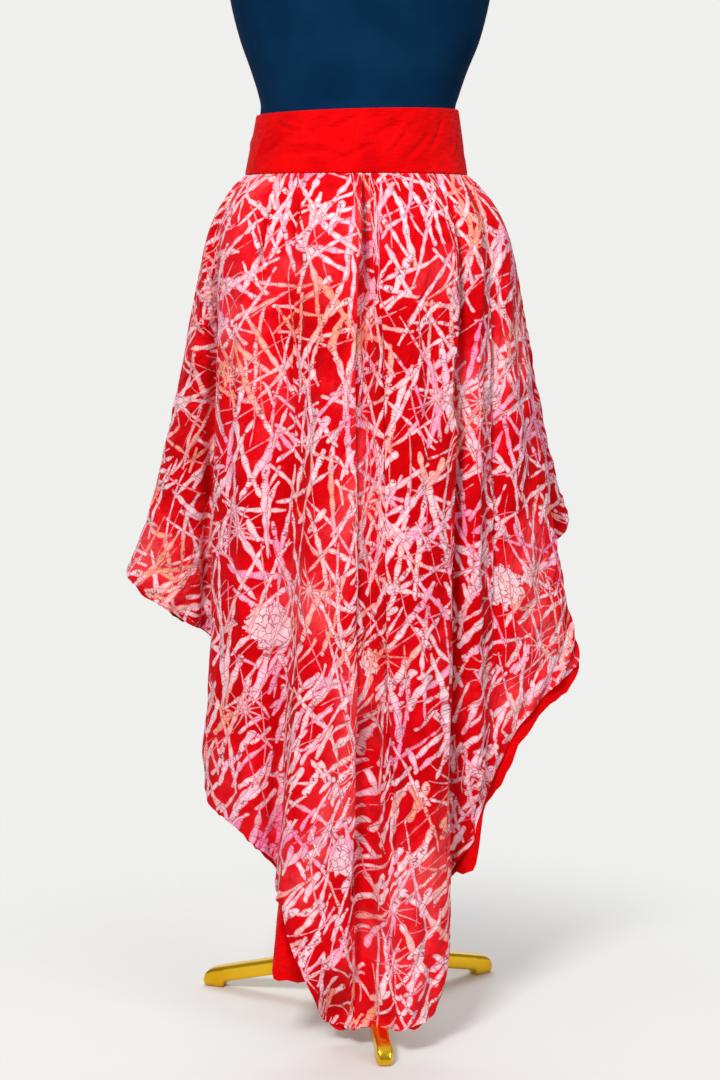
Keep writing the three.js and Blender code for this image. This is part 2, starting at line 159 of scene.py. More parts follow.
SOFT_CREASES = [
    # path, width, depth
    ([(12.0, 1000), (12.0, 700), (12.1, 320)], 8, -2.5),
    ([(11.75, 420), (11.68, 300), (11.66, 200), (11.6, 100), (11.52, 30), (11.5, -60)], 11.5, -33),
    ([(9.3, 240), (9.6, 160), (10.0, 90), (10.3, 20)], 9, -6),
    ([(10.9, 190), (10.75, 140), (10.9, 30)], 6, 5),
    ([(12.9, 150), (12.7, 34), (12.7, -60)], 7, -8),
    ([(13.6, 240), (13.7, 150), (13.5, 40), (13.4, -60)], 9, 5),
    ([(14.1, 170), (14.3, 60), (14.3, -60)], 8, -8),
    ([(1.9, 960), (1.9, 900), (1.83, 850), (1.77, 800), (1.7, 760), (1.66, 700), (1.62, 600), (1.62, 500),
      (1.66, 400)], 4.6, -26),
    ([(2.0, 900), (1.8, 760), (1.7, 640), (1.7, 440)], 14, -8),
    ([(1.0, 930), (0.9, 800), (0.8, 640)], 9, -3),
    ([(0.4, 980), (0.2, 820), (0.1, 600)], 10, 3),
    ([(3.6, 960), (3.7, 800), (3.6, 560)], 9, -3.5),
    ([(4.3, 900), (4.4, 700), (4.2, 420)], 10, 3),
    ([(4.8, 660), (4.7, 500), (4.8, 300)], 8, -3),
    ([(5.6, 930), (5.7, 760), (5.6, 560)], 9, -3),
    ([(6.9, 820), (7.1, 640), (7.0, 380)], 9, -4),
    ([(7.7, 1000), (7.8, 860), (7.6, 640)], 7, -2.6),
    ([(8.3, 960), (8.4, 700), (8.5, 430)], 8, 2.8),
    ([(8.9, 620), (9.1, 420), (9.0, 170)], 9, -4.5),
    ([(9.7, 1010), (9.8, 800), (9.8, 560)], 7, -3),
    ([(9.9, 520), (9.8, 330), (10.0, 80)], 8, -4.5),
    ([(10.4, 700), (10.4, 460), (10.3, 200)], 6, 2.4),
    ([(12.6, 420), (12.5, 260), (12.6, 60)], 7, -3.5),
    ([(13.36, 620), (13.32, 429), (13.26, 310), (13.2, 180)], 5, 3),
    ([(13.6, 980), (13.7, 840), (13.7, 700)], 8, -2.5),
    ([(13.8, 560), (13.7, 380), (13.8, 90)], 9, -4.5),
    ([(14.3, 900), (14.3, 700), (14.4, 520)], 9, -2.6),
    ([(14.4, 420), (14.3, 250), (14.4, 60)], 8, 3),
    ([(15.7, 900), (15.8, 640), (15.7, 330)], 8, -4),
    ([(16.5, 960), (16.6, 720), (16.5, 420)], 9, 3),
    ([(17.4, 860), (17.4, 620), (17.5, 330)], 8, -3.5),
    ([(18.6, 990), (18.7, 820), (18.6, 600)], 9, 3),
    ([(19.3, 900), (19.4, 700), (19.4, 460)], 10, -4),
    ([(20.1, 860), (20.2, 700), (20.1, 500)], 9, 3),
    ([(20.6, 700), (20.5, 560)], 8, -3),
    ([(21.6, 960), (21.7, 800), (21.6, 640)], 10, -3),
    ([(22.4, 1000), (22.5, 840), (22.3, 660)], 9, 3),
    ([(23.3, 900), (23.2, 760), (23.3, 610)], 9, -3),
    ([(24.7, 960), (24.8, 800), (24.7, 640)], 9, 3),
    ([(25.4, 860), (25.5, 740), (25.4, 610)], 10, -3.5),
    ([(26.5, 1000), (26.4, 860), (26.5, 680)], 9, -3),
    ([(27.2, 820), (27.3, 700), (27.2, 610)], 9, 3),
    ([(28.9, 900), (28.8, 760), (28.9, 620)], 9, -3),
    ([(29.6, 980), (29.5, 820), (29.6, 660)], 9, 3),
    ([(30.5, 900), (30.6, 760), (30.4, 600)], 10, -3.5),
    ([(31.4, 960), (31.3, 800), (31.4, 640)], 9, 3),
    ([(33.0, 900), (33.1, 760), (33.0, 600)], 9, -3),
    ([(33.7, 980), (33.6, 820), (33.7, 650)], 9, 3),
    ([(35.0, 900), (34.9, 760), (35.0, 590)], 10, -3.5),
    ([(35.6, 960), (35.5, 800), (35.6, 600)], 9, 3),
]

# Where the hem rolls under: the middle and how many places wide, the height where it begins, over how
# much height, and how far in.
HEM_CURLS = [
    # place, spread, start, run, depth
    (10.3, 0.85, 112, 60, 46),
    (12.2, 0.6, 90, 60, 12),
    (15.0, 0.9, 100, 60, 14),
    (1.4, 0.8, 520, 60, 10),
    (17.0, 0.9, 330, 60, 10),
]

# How far the print's hem is turned up above the ends of the fold lines, and how far the lining hangs
# below them, by place round the skirt.
PRINT_LIFT = [
    (0, 0), (5.8, 0), (6.5, 6), (7, 20), (7.5, 38), (8, 58), (8.12, 52), (8.25, 37), (8.4, 31), (8.6, 28),
    (9, 25), (9.3, 20), (9.55, 7), (9.8, 0),
    (16.4, 0), (16.8, 5), (17.2, 3), (17.8, 3), (18.3, 9), (18.6, 11), (19, 5), (20, 2), (21, 0), (36, 0),
]
LINING_DROP = [
    (0, 3), (5, 2), (6, 4), (6.5, 12), (6.8, 26), (7, 38), (7.5, 46), (8, 39), (8.3, 22), (8.6, 2),
    (8.8, -9), (9, -19), (9.2, -19), (9.4, -12), (9.7, -1), (10, 2), (15, 2), (16, 5), (16.45, 7),
    (16.65, 22), (16.85, 32), (17.05, 34), (17.2, 27), (17.4, 16), (17.6, 12), (17.9, 14), (18.2, 22),
    (18.45, 20), (18.6, 12), (19, 13), (19.4, 16), (19.8, 9), (20.3, 9), (21, 3), (22, 0),
    (34, 0), (35, 3), (36, 3),
]

# ---------------------------------------------------------------- the skirt's surface


def smooth_step(x):
    x = np.clip(x, 0, 1)
    return x * x * (3 - 2 * x)


def bell(x):
    return np.exp(-x * x)


def oval_point(oval, bearing, inset=0.0):
    """The point of an oval at a bearing; front and back may differ in depth."""
    angle = np.radians(bearing)
    front, back = (oval.get(side, oval.get("depth")) for side in ("front", "back"))
    x = oval["x"] + (oval["width"] - inset) * np.sin(angle)
    y = -(np.where(np.cos(angle) < 0, front, back) - inset) * np.cos(angle)
    return np.stack([x, y, np.full_like(x, 1.0) * oval["z"]], -1)


def fold_line_points(line, share):
    """Where fold line number line[column] is at share[row, column] of its way from seam to hem."""
    bearing, hip_x, hip_y, hem_x, hem_y, hem_z = (LINES[line % LINE_COUNT, k] for k in range(6))
    z = SEAM_Z - GAP - share * (SEAM_Z - GAP - hem_z)
    seam = oval_point(SEAM_OVAL, bearing)[:, :2]
    hip = np.stack([hip_x, hip_y], -1)
    run = np.stack([hem_x - hip_x, hem_y - hip_y], -1)
    low = ((HIP_Z - z) / (HIP_Z - hem_z))[..., None]
    below = hip + run * ((1 - HEM_KICK) * low + HEM_KICK * low**4)
    high = np.clip((SEAM_Z - z) / (SEAM_Z - HIP_Z), 0, 1)[..., None]
    slope = run * ((1 - HEM_KICK) * (SEAM_Z - HIP_Z) / (HIP_Z - hem_z))[:, None]
    above = seam + (hip - seam - slope) * (1 - (1 - high) ** SWELL) + slope * high
    xy = np.where((z < HIP_Z)[..., None], below, above)
    return np.concatenate([xy, z[..., None]], -1)


def plain_surface(place, down):
    """The skirt's face without its creases: [row, column, xyz].

    down is a share of the way to the hem of the print, and from 1 to 2 it goes on to the hem of the
    lining.
    """
    line = np.floor(place).astype(int)
    t = (place - line)[None, :, None]

    def at_share(share):
        a, b, c, d = (fold_line_points(line + k, share) for k in (-1, 0, 1, 2))
        return b + 0.5 * t * (c - a + t * (2 * a - 5 * b + 4 * c - d + t * (3 * (b - c) + d - a)))

    drop = SEAM_Z - at_share(np.ones((1, len(place))))[0, :, 2]
    turned = place % LINE_COUNT
    print_end = 1 - np.interp(turned, *np.array(PRINT_LIFT, float).T) / drop
    lining_end = 1 + np.interp(turned, *np.array(LINING_DROP, float).T) / drop
    past = np.maximum(down - 1, 0)[:, None]
    return at_share(np.minimum(down, 1)[:, None] * print_end + past * (lining_end - print_end))


def surface_normals(points):
    normal = np.cross(np.gradient(points, axis=0), np.gradient(points, axis=1))
    return normal / np.maximum(np.linalg.norm(normal, axis=-1, keepdims=True), 1e-9)


def lengths_round(points):
    """How far each point is along its row, counted level."""
    step = np.linalg.norm(np.diff(points[..., :2], axis=1), axis=-1)
    return np.concatenate([np.zeros((len(points), 1)), np.cumsum(step, 1)], 1)


def crease_frames(points, place, creases):
    """For each crease: its sizes, the distance from it, and how strong it is, at each grid point."""
    along = lengths_round(points)
    height = points[..., 2]
    for path, *sizes in creases:
        places, heights = np.array(path, float).T
        for turn in (0, LINE_COUNT, -LINE_COUNT):
            if places.max() + turn < place[0] or places.min() + turn > place[-1]:
                continue
            at = np.interp(height, heights[::-1], places[::-1]) + turn
            at_length = np.stack([np.interp(row, place, lengths) for row, lengths in zip(at, along)])
            down = (heights[0] - height) / (heights[0] - heights[-1])
            strength = smooth_step(down / 0.14 + 0.25) * smooth_step((1 - down) / 0.3)
            strength *= (down > -0.05) & (down < 1)
            # No crease is even along its length.
            uneven = 0.22 * np.sin(height / 26 + 5 * places[0]) * np.sin(height / 61 + places[0])
            yield sizes, along - at_length, strength * (0.78 + uneven)


def section(z, x, width, front, back):
    return dict(z=z, x=x, width=width, front=front, back=back)


# The form's sections below and above the waistband; front is the chest side.
FORM_BELOW = [
    section(800, -5, 150, 99, 106),
    section(826, -5, 157, 103, 112),
    section(870, -5, 162, 106, 117),
    section(913, -5, 163, 106, 118),
    section(955, -5, 158, 105, 115),
    section(995, -5, 146, 102, 109),
]
FORM_ABOVE = [
    section(1132, -2.5, 120, 92, 90),
    section(1160, -2, 129, 98, 93),
    section(1200, -1, 144, 109, 97),
    section(1245, -1, 155, 124, 103),
    section(1285, -1, 161, 134, 107),
    section(1322, -1, 163, 131, 110),
    section(1360, -1, 165, 116, 112),
    section(1400, -1, 169, 99, 110),
    section(1436, -1, 171, 86, 103),
    section(1460, -1, 167, 76, 94),
    section(1478, -1, 154, 69, 85),
    section(1492, -1, 131, 63, 76),
    section(1504, -1, 103, 58, 68),
    section(1518, -1, 76, 54, 61),
    section(1536, -1, 61, 52, 56),
    section(1575, -1, 54, 50, 52),
]


def band_oval(share):
    """The waistband's oval at a share of its height."""
    return {key: SEAM_OVAL[key] + (WAIST_OVAL[key] - SEAM_OVAL[key]) * share for key in SEAM_OVAL}


def form_sections():
    """The form inside the band follows the band, and elsewhere its own sections."""
    band = []
    for share in (-0.03, 0.5, 1.08):
        oval = band_oval(share)
        depth = oval["depth"] - BAND - FIT
        band.append(section(oval["z"], oval["x"], oval["width"] - BAND - FIT, depth, depth))
    return FORM_BELOW + band + FORM_ABOVE


def off_the_form(points, clear):
    """Pushes points that come within reach of the form out to its cover."""
    sections = form_sections()
    heights = [one["z"] for one in sections]
    x, width, front, back = (
        np.interp(points[..., 2], heights, [one[key] for one in sections])
        for key in ("x", "width", "front", "back")
    )
    depth = np.where(points[..., 1] > 0, front, back) + clear
    across = points[..., 0] - x
    reach = np.sqrt((across / (width + clear)) ** 2 + (points[..., 1] / depth) ** 2)
    push = np.where((reach < 1) & (points[..., 2] > heights[0] - 8), 1 / np.maximum(reach, 0.3), 1)
    pushed = points.copy()
    pushed[..., 0] = x + across * push
    pushed[..., 1] = points[..., 1] * push
    return pushed


# How far round and down the lining spans the print's folds, and how far it is smoothed, in steps of
# the grid.
SPAN_COLUMNS = 7
SPAN_ROWS = 2
SMOOTH_COLUMNS = 5


def lining_fall(outwards):
    """How far the lining stands out: the print's valleys push it in, and it spans its folds smoothly."""
    low = outwards.copy()
    for k in range(1, SPAN_COLUMNS + 1):
        low[:, k:] = np.minimum(low[:, k:], outwards[:, :-k])
        low[:, :-k] = np.minimum(low[:, :-k], outwards[:, k:])
    for k in range(1, SPAN_ROWS + 1):
        low[k:] = np.minimum(low[k:], low[:-k])
        low[:-k] = np.minimum(low[:-k], low[k:])
    span = 2 * SMOOTH_COLUMNS + 1
    total = np.cumsum(np.pad(low, ((0, 0), (SMOOTH_COLUMNS + 1, SMOOTH_COLUMNS)), mode="edge"), 1)
    return (total[:, span:] - total[:, :-span]) / span


# Behind a folded edge the cloth drops away: shares of its depth, each with its reach in millimetres.
EDGE_DROPS = [(0.65, 4.8), (0.35, 15)]
EDGE_RISE = 0.16  # share of its depth by which the edge itself stands out
UNDER_LEAN = 0.6  # share of the lean by which the cloth below goes the other way
EDGE_REACH = 7  # how many widths of the edge take part in the fold
# Waves of the cloth, in millimetres outwards.
PUCKER = 0.9
SLACK = 0.6
WRINKLE = 0.75
CRUMPLE = 1.7
HEM_WAVER = 2.6
# They die out at this place, so that they come round to themselves.
WAVES_END = 34.6
WAVES_GAP = 0.45  # places
SEAM_TUCK = 0.4  # how far the cloth tucks in under the waistband


def folded_edges(points, place):
    """How far the folded edges move each point outwards and sideways."""
    outwards = np.zeros(points.shape[:2])
    sideways = np.zeros(points.shape[:2])
    for (width, depth, lean), distance, strength in crease_frames(points, place, FOLDED_EDGES):
        under = distance * math.copysign(1, lean)
        upper_layer = smooth_step((under / width + EDGE_REACH) / (EDGE_REACH - 1))
        crossing = smooth_step((under + width) / (2 * width))
        lower_layer = 1 - smooth_step((under / width - 1) / EDGE_REACH)
        past_edge = np.maximum(under, 0)
        fall = crossing * sum(share * bell(past_edge / reach) for share, reach in EDGE_DROPS)
        outwards += depth * strength * (EDGE_RISE * upper_layer * (1 - crossing) - fall)
        sideways += lean * strength * (upper_layer * (1 - crossing) - UNDER_LEAN * crossing * lower_layer)
    return outwards, sideways


def cloth_waves(along, height, turned):
    """How far the cloth's waves stand out, by the length round, the height and the place.

    Lengths are divided by the wave's own length over 2 pi, in millimetres.
    """
    # Small puckers where the seam gathers the cloth.
    pucker = np.sin(along / 3.1 + 1.4 * np.sin(along / 17)) * np.sin(along / 41 + 1)
    waves = PUCKER * pucker * smooth_step((height - 975) / 50) * smooth_step((SEAM_Z - height) / 12)
    # A slack, uneven fall lower down.
    slack = np.sin(along / 9.5 + height / 210 + 2 * np.sin(along / 67)) + np.sin(along / 15 - height / 160 + 1)
    waves += SLACK * slack * smooth_step((1010 - height) / 120)
    # Fine wrinkles that run down the cloth, in patches.
    fine = np.sin(along / 2.7 + height / 90 + 2 * np.sin(along / 23) + 1.3 * np.sin(height / 61))
    patches = 0.5 + 0.5 * np.sin(along / 37 + height / 120 + 1.5 * np.sin(height / 83))
    waves += WRINKLE * fine * patches * smooth_step((1020 - height) / 60)
    # Slanting crumples, more on the flares and low on the tail than elsewhere.
    crumple = np.sin(height / 8 + along / 19 + 1.8 * np.sin(along / 31 + height / 57))
    crumple *= np.sin(height / 43 - along / 23 + 2) * np.sin(along / 61 + 0.6)
    most = bell((turned - 1) / 1.6) + bell((turned - 18) / 2.4) + 0.25
    most = most + 3.4 * bell((turned - 10.2) / 1.4) * smooth_step((150 - height) / 60)
    return waves + CRUMPLE * crumple * most * smooth_step((980 - height) / 160)


def creased_surface(place, down):
    """The faces of the print and of the lining, with their creases."""
    points = plain_surface(place, down)
    normal = surface_normals(points)
    level = np.stack([-normal[..., 1], normal[..., 0], np.zeros_like(normal[..., 0])], -1)
    level /= np.maximum(np.linalg.norm(level, axis=-1, keepdims=True), 1e-9)
    outwards, sideways = folded_edges(points, place)
    for (width, depth), distance, strength in crease_frames(points, place, SOFT_CREASES):
        outwards += depth * strength * bell(distance / width)
    turned = place % LINE_COUNT
    height = points[..., 2]
    curl = np.zeros_like(outwards)
    for middle, spread, start, run, depth in HEM_CURLS:
        curl += depth * bell((turned - middle) / spread) * smooth_step((start - height) / run)
    outwards -= curl

    along = lengths_round(points)
    girth = along[:, [int(np.argmin(np.abs(place - (place[0] + LINE_COUNT))))]]
    along = np.where(place > WAVES_END, along - girth, along)
    wave = 1 - bell((place - WAVES_END) / WAVES_GAP)
    outwards += wave * cloth_waves(along, height, turned)
    # The seam holds the folds down.
    outwards *= 0.3 + 0.7 * smooth_step((SEAM_Z - height) / 16)
    # The hem wavers, and the lining's own edge is uneven.
    share = np.minimum(down, 1)[:, None] * np.ones_like(along)
    near_hem = smooth_step((share - 0.86) / 0.14)
    outwards += HEM_WAVER * wave * near_hem * np.sin(along / 8.2 + 1.7 * np.sin(along / 23))
    drop = wave * near_hem * (1.6 * np.sin(along / 7.5) + 1.4 * np.sin(along / 17 + 2)) + 0.3 * curl
    below_print = np.maximum(down - 1, 0)[:, None]
    uneven = 1.5 * np.sin(along / 2.9 + 2 * np.sin(along / 11)) + 1.8 * np.sin(along / 7.3 + 1)
    drop += wave * below_print * uneven

    tuck = SEAM_TUCK * bell((SEAM_Z - height) / 2.2)
    # Where the lining hangs well below the print, nothing pushes it in.
    free = bell((turned - 7.9) / 0.9) + bell((turned - 17.6) / 1.3)
    inner_fall = lining_fall(outwards) * (1 - 0.8 * free * smooth_step(below_print / 0.6))
    lining = points + normal * (inner_fall - LINING_UNDER - tuck)[..., None]
    points = points + normal * (outwards - tuck)[..., None] + level * sideways[..., None]
    faces = []
    for face, clear in ((points, FORM_CLEAR), (lining, FORM_CLEAR - LINING_UNDER)):
        face[..., 2] -= drop
        faces.append(off_the_form(face, clear * smooth_step((SEAM_Z - 4 - face[..., 2]) / 20) - 0.4))
    return faces


def cloth_coordinates(points, start):
    """Where each point lies on the flat cloth, in metres.

    The flat cut is a fan: each column is a straight line that turns by what the flare adds between
    two columns, and the columns keep their distances at the hip.
    """
    columns = points.shape[1]
    step = np.linalg.norm(np.diff(points, axis=0), axis=-1)
    down = np.concatenate([np.zeros((1, columns)), np.cumsum(step, 0)], 0)

    def at_height(z):
        """Each column's level place and its length down to height z."""
        known = (points[..., 0], points[..., 1], down)
        found = [[np.interp(-z[i], -points[:, i, 2], one[:, i]) for one in known] for i in range(columns)]
        return np.array(found)

    hip = at_height(np.full(columns, float(HIP_Z)))
    lowest = points[-1, :, 2]
    level = np.maximum(lowest[:-1], lowest[1:])
    left, right = at_height(np.append(level, lowest[-1])), at_height(np.append(lowest[0], level))
    width_hip = np.hypot(*(hip[1:, :2] - hip[:-1, :2]).T)
    width_low = np.hypot(*(right[1:, :2] - left[:-1, :2]).T)
    turn = (width_low - width_hip) / (HIP_Z - level)
    angle = np.concatenate([[0], np.cumsum(turn)])
    middle = (angle[1:] + angle[:-1]) / 2
    steps = np.stack([np.cos(middle), -np.sin(middle)], -1) * width_hip[:, None]
    top = np.concatenate([[[0, 0]], np.cumsum(steps, 0)])
    below_hip = down - hip[:, 2]
    x = top[:, 0] + np.sin(angle) * below_hip
    y = top[:, 1] + np.cos(angle) * below_hip
    # Turned so that the cloth's grain falls straight at the column named start.
    cos, sin = math.cos(angle[start]), math.sin(angle[start])
    x, y = x - top[start, 0], y - top[start, 1]
    x, y = x * cos - y * sin, x * sin + y * cos + (SEAM_Z - HIP_Z)
    return np.stack([x, y, np.zeros_like(x)], -1) * MM


# ---------------------------------------------------------------- mesh making


def add_piece(name, points, faces, material, cloth=None, sharp=50):
    """A mesh from points in millimetres, set in the part's frame."""
    mesh = bpy.data.meshes.new(name)
    mesh.from_pydata(((points + SHIFT) * MM).tolist(), [], faces)
    if cloth is not None:
        layer = mesh.attributes.new("cloth", "FLOAT_VECTOR", "POINT")
        layer.data.foreach_set("vector", cloth.astype(np.float32).ravel())
    mesh.shade_smooth()
    mesh.set_sharp_from_angle(angle=math.radians(sharp))
    piece = bpy.data.objects.new(name, mesh)
    bpy.context.scene.collection.objects.link(piece)
    mesh.materials.append(material)
    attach(piece, "root")
    return piece


def wall_faces(rows, columns):
    """Faces of a closed wall from two grids of points, the outer one first."""
    j, i = np.mgrid[0 : rows - 1, 0 : columns - 1]
    a = (j * columns + i).ravel()
    size = rows * columns
    outer = np.stack([a, a + columns, a + columns + 1, a + 1], 1)
    inner = outer[:, ::-1] + size
    i = np.arange(columns - 1)
    low = (rows - 1) * columns
    top = np.stack([i, i + 1, i + 1 + size, i + size], 1)
    bottom = np.stack([low + i, low + i + size, low + i + 1 + size, low + i + 1], 1)
    j = np.arange(rows - 1) * columns
    start = np.stack([j, j + size, j + columns + size, j + columns], 1)
    k = j + columns - 1
    end = np.stack([k, k + columns, k + columns + size, k + size], 1)
    return np.concatenate([outer, inner, top, bottom, start, end]).tolist()


def add_wall(name, outer, inner, material, cloth):
    rows, columns = outer.shape[:2]
    points = np.concatenate([outer.reshape(-1, 3), inner.reshape(-1, 3)])
    flat = np.concatenate([cloth.reshape(-1, 3)] * 2)
    return add_piece(name, points, wall_faces(rows, columns), material, flat)


def face_area(points):
    """Area of a grid of points, in square metres."""
    a, b = points[1:, 1:] - points[:-1, :-1], points[1:, :-1] - points[:-1, 1:]
    return float(np.linalg.norm(np.cross(a, b), axis=-1).sum() / 2) * MM * MM


# ---------------------------------------------------------------- material making


class Term:
    """A value in a node tree that takes part in arithmetic."""

    def __init__(self, pen, socket):
        self.pen = pen
        self.socket = socket

    def __add__(self, other):
        return self.pen.math("ADD", self, other)

    def __sub__(self, other):
        return self.pen.math("SUBTRACT", self, other)

    def __rsub__(self, other):
        return self.pen.math("SUBTRACT", other, self)

    def __mul__(self, other):
        return self.pen.math("MULTIPLY", self, other)

    def __truediv__(self, other):
        return self.pen.math("DIVIDE", self, other)

    __radd__ = __add__
    __rmul__ = __mul__


class Pen:
    """Draws nodes into a material's tree."""

    def __init__(self, name):
        self.material = bpy.data.materials.new(name)
        self.material.use_nodes = True
        self.tree = self.material.node_tree
        self.shader = self.tree.nodes["Principled BSDF"]

    def plug(self, value, socket):
        if isinstance(value, Term):
            self.tree.links.new(value.socket, socket)
        else:
            socket.default_value = value

    def node(self, kind, inputs=(), **settings):
        node = self.tree.nodes.new("ShaderNode" + kind)
        for key, value in settings.items():
            setattr(node, key, value)
        for key, value in dict(inputs).items():
            self.plug(value, node.inputs[key])
        return node

    def term(self, node, output=0):
        return Term(self, node.outputs[output])

    def math(self, operation, *values, clamp=False):
        node = self.node("Math", enumerate(values), operation=operation)
        node.use_clamp = clamp
        return self.term(node)

    def fract(self, value):
        return self.math("FRACT", value)

    def absolute(self, value):
        return self.math("ABSOLUTE", value)

    def sine(self, value):
        return self.math("SINE", value)

    def larger(self, a, b):
        return self.math("MAXIMUM", a, b)

    def length(self, x, y):
        return self.math("SQRT", x * x + y * y)

    def clamp(self, value):
        return self.math("ADD", value, 0.0, clamp=True)

    def inside(self, distance, blur):
        """1 where distance is well above 0, 0 where it is well below."""
        return self.math("MULTIPLY_ADD", distance, 1 / blur, 0.5, clamp=True)

    def vector(self, x, y, z=0.0):
        return self.term(self.node("CombineXYZ", {0: x, 1: y, 2: z}))

    def parts(self, vector):
        node = self.node("SeparateXYZ", {0: vector})
        return [self.term(node, i) for i in range(3)]

    def cloth(self):
        """Round and down on the flat cloth, in millimetres."""
        place = self.node("Attribute", attribute_name="cloth")
        x, y, _ = self.parts(self.term(place, "Vector"))
        return x * 1000, y * 1000

    def object_place(self):
        return self.term(self.node("TexCoord"), "Object")

    def noise(self, vector, scale, detail=2.0, roughness=0.5, dimensions="2D"):
        inputs = {"Vector": vector, "Scale": scale, "Detail": detail, "Roughness": roughness}
        return self.term(self.node("TexNoise", inputs, noise_dimensions=dimensions))

    def voronoi(self, vector, randomness=1.0, feature="F1"):
        inputs = {"Vector": vector, "Scale": 1.0, "Randomness": randomness}
        return self.node("TexVoronoi", inputs, voronoi_dimensions="2D", feature=feature)

    def mix(self, share, a, b):
        node = self.node("Mix", {0: share, 6: a, 7: b}, data_type="RGBA")
        return self.term(node, 2)

    def blend(self, share, a, b):
        return self.term(self.node("Mix", {0: share, 2: a, 3: b}, data_type="FLOAT"), 0)

    def ramp(self, value, stops):
        node = self.node("ValToRGB", {0: value})
        band = node.color_ramp
        while len(band.elements) < len(stops):
            band.elements.new(0.5)
        for element, (place, colour) in zip(band.elements, stops):
            element.position = place
            element.color = (*colour, 1)
        return self.term(node)

    def bump(self, height, strength, distance, under=None):
        inputs = {"Height": height, "Strength": strength, "Distance": distance}
        if under is not None:
            inputs["Normal"] = under
        return self.term(self.node("Bump", inputs), "Normal")

    def shade(self, **inputs):
        for key, value in inputs.items():
            self.plug(value, self.shader.inputs[key.replace("_", " ")])
        return self.material


def weave(pen, x, y, pitch):
    """Height of a plain weave with that many millimetres between threads."""
    return pen.sine(x * (2 * math.pi / pitch)) * pen.sine(y * (2 * math.pi / pitch))


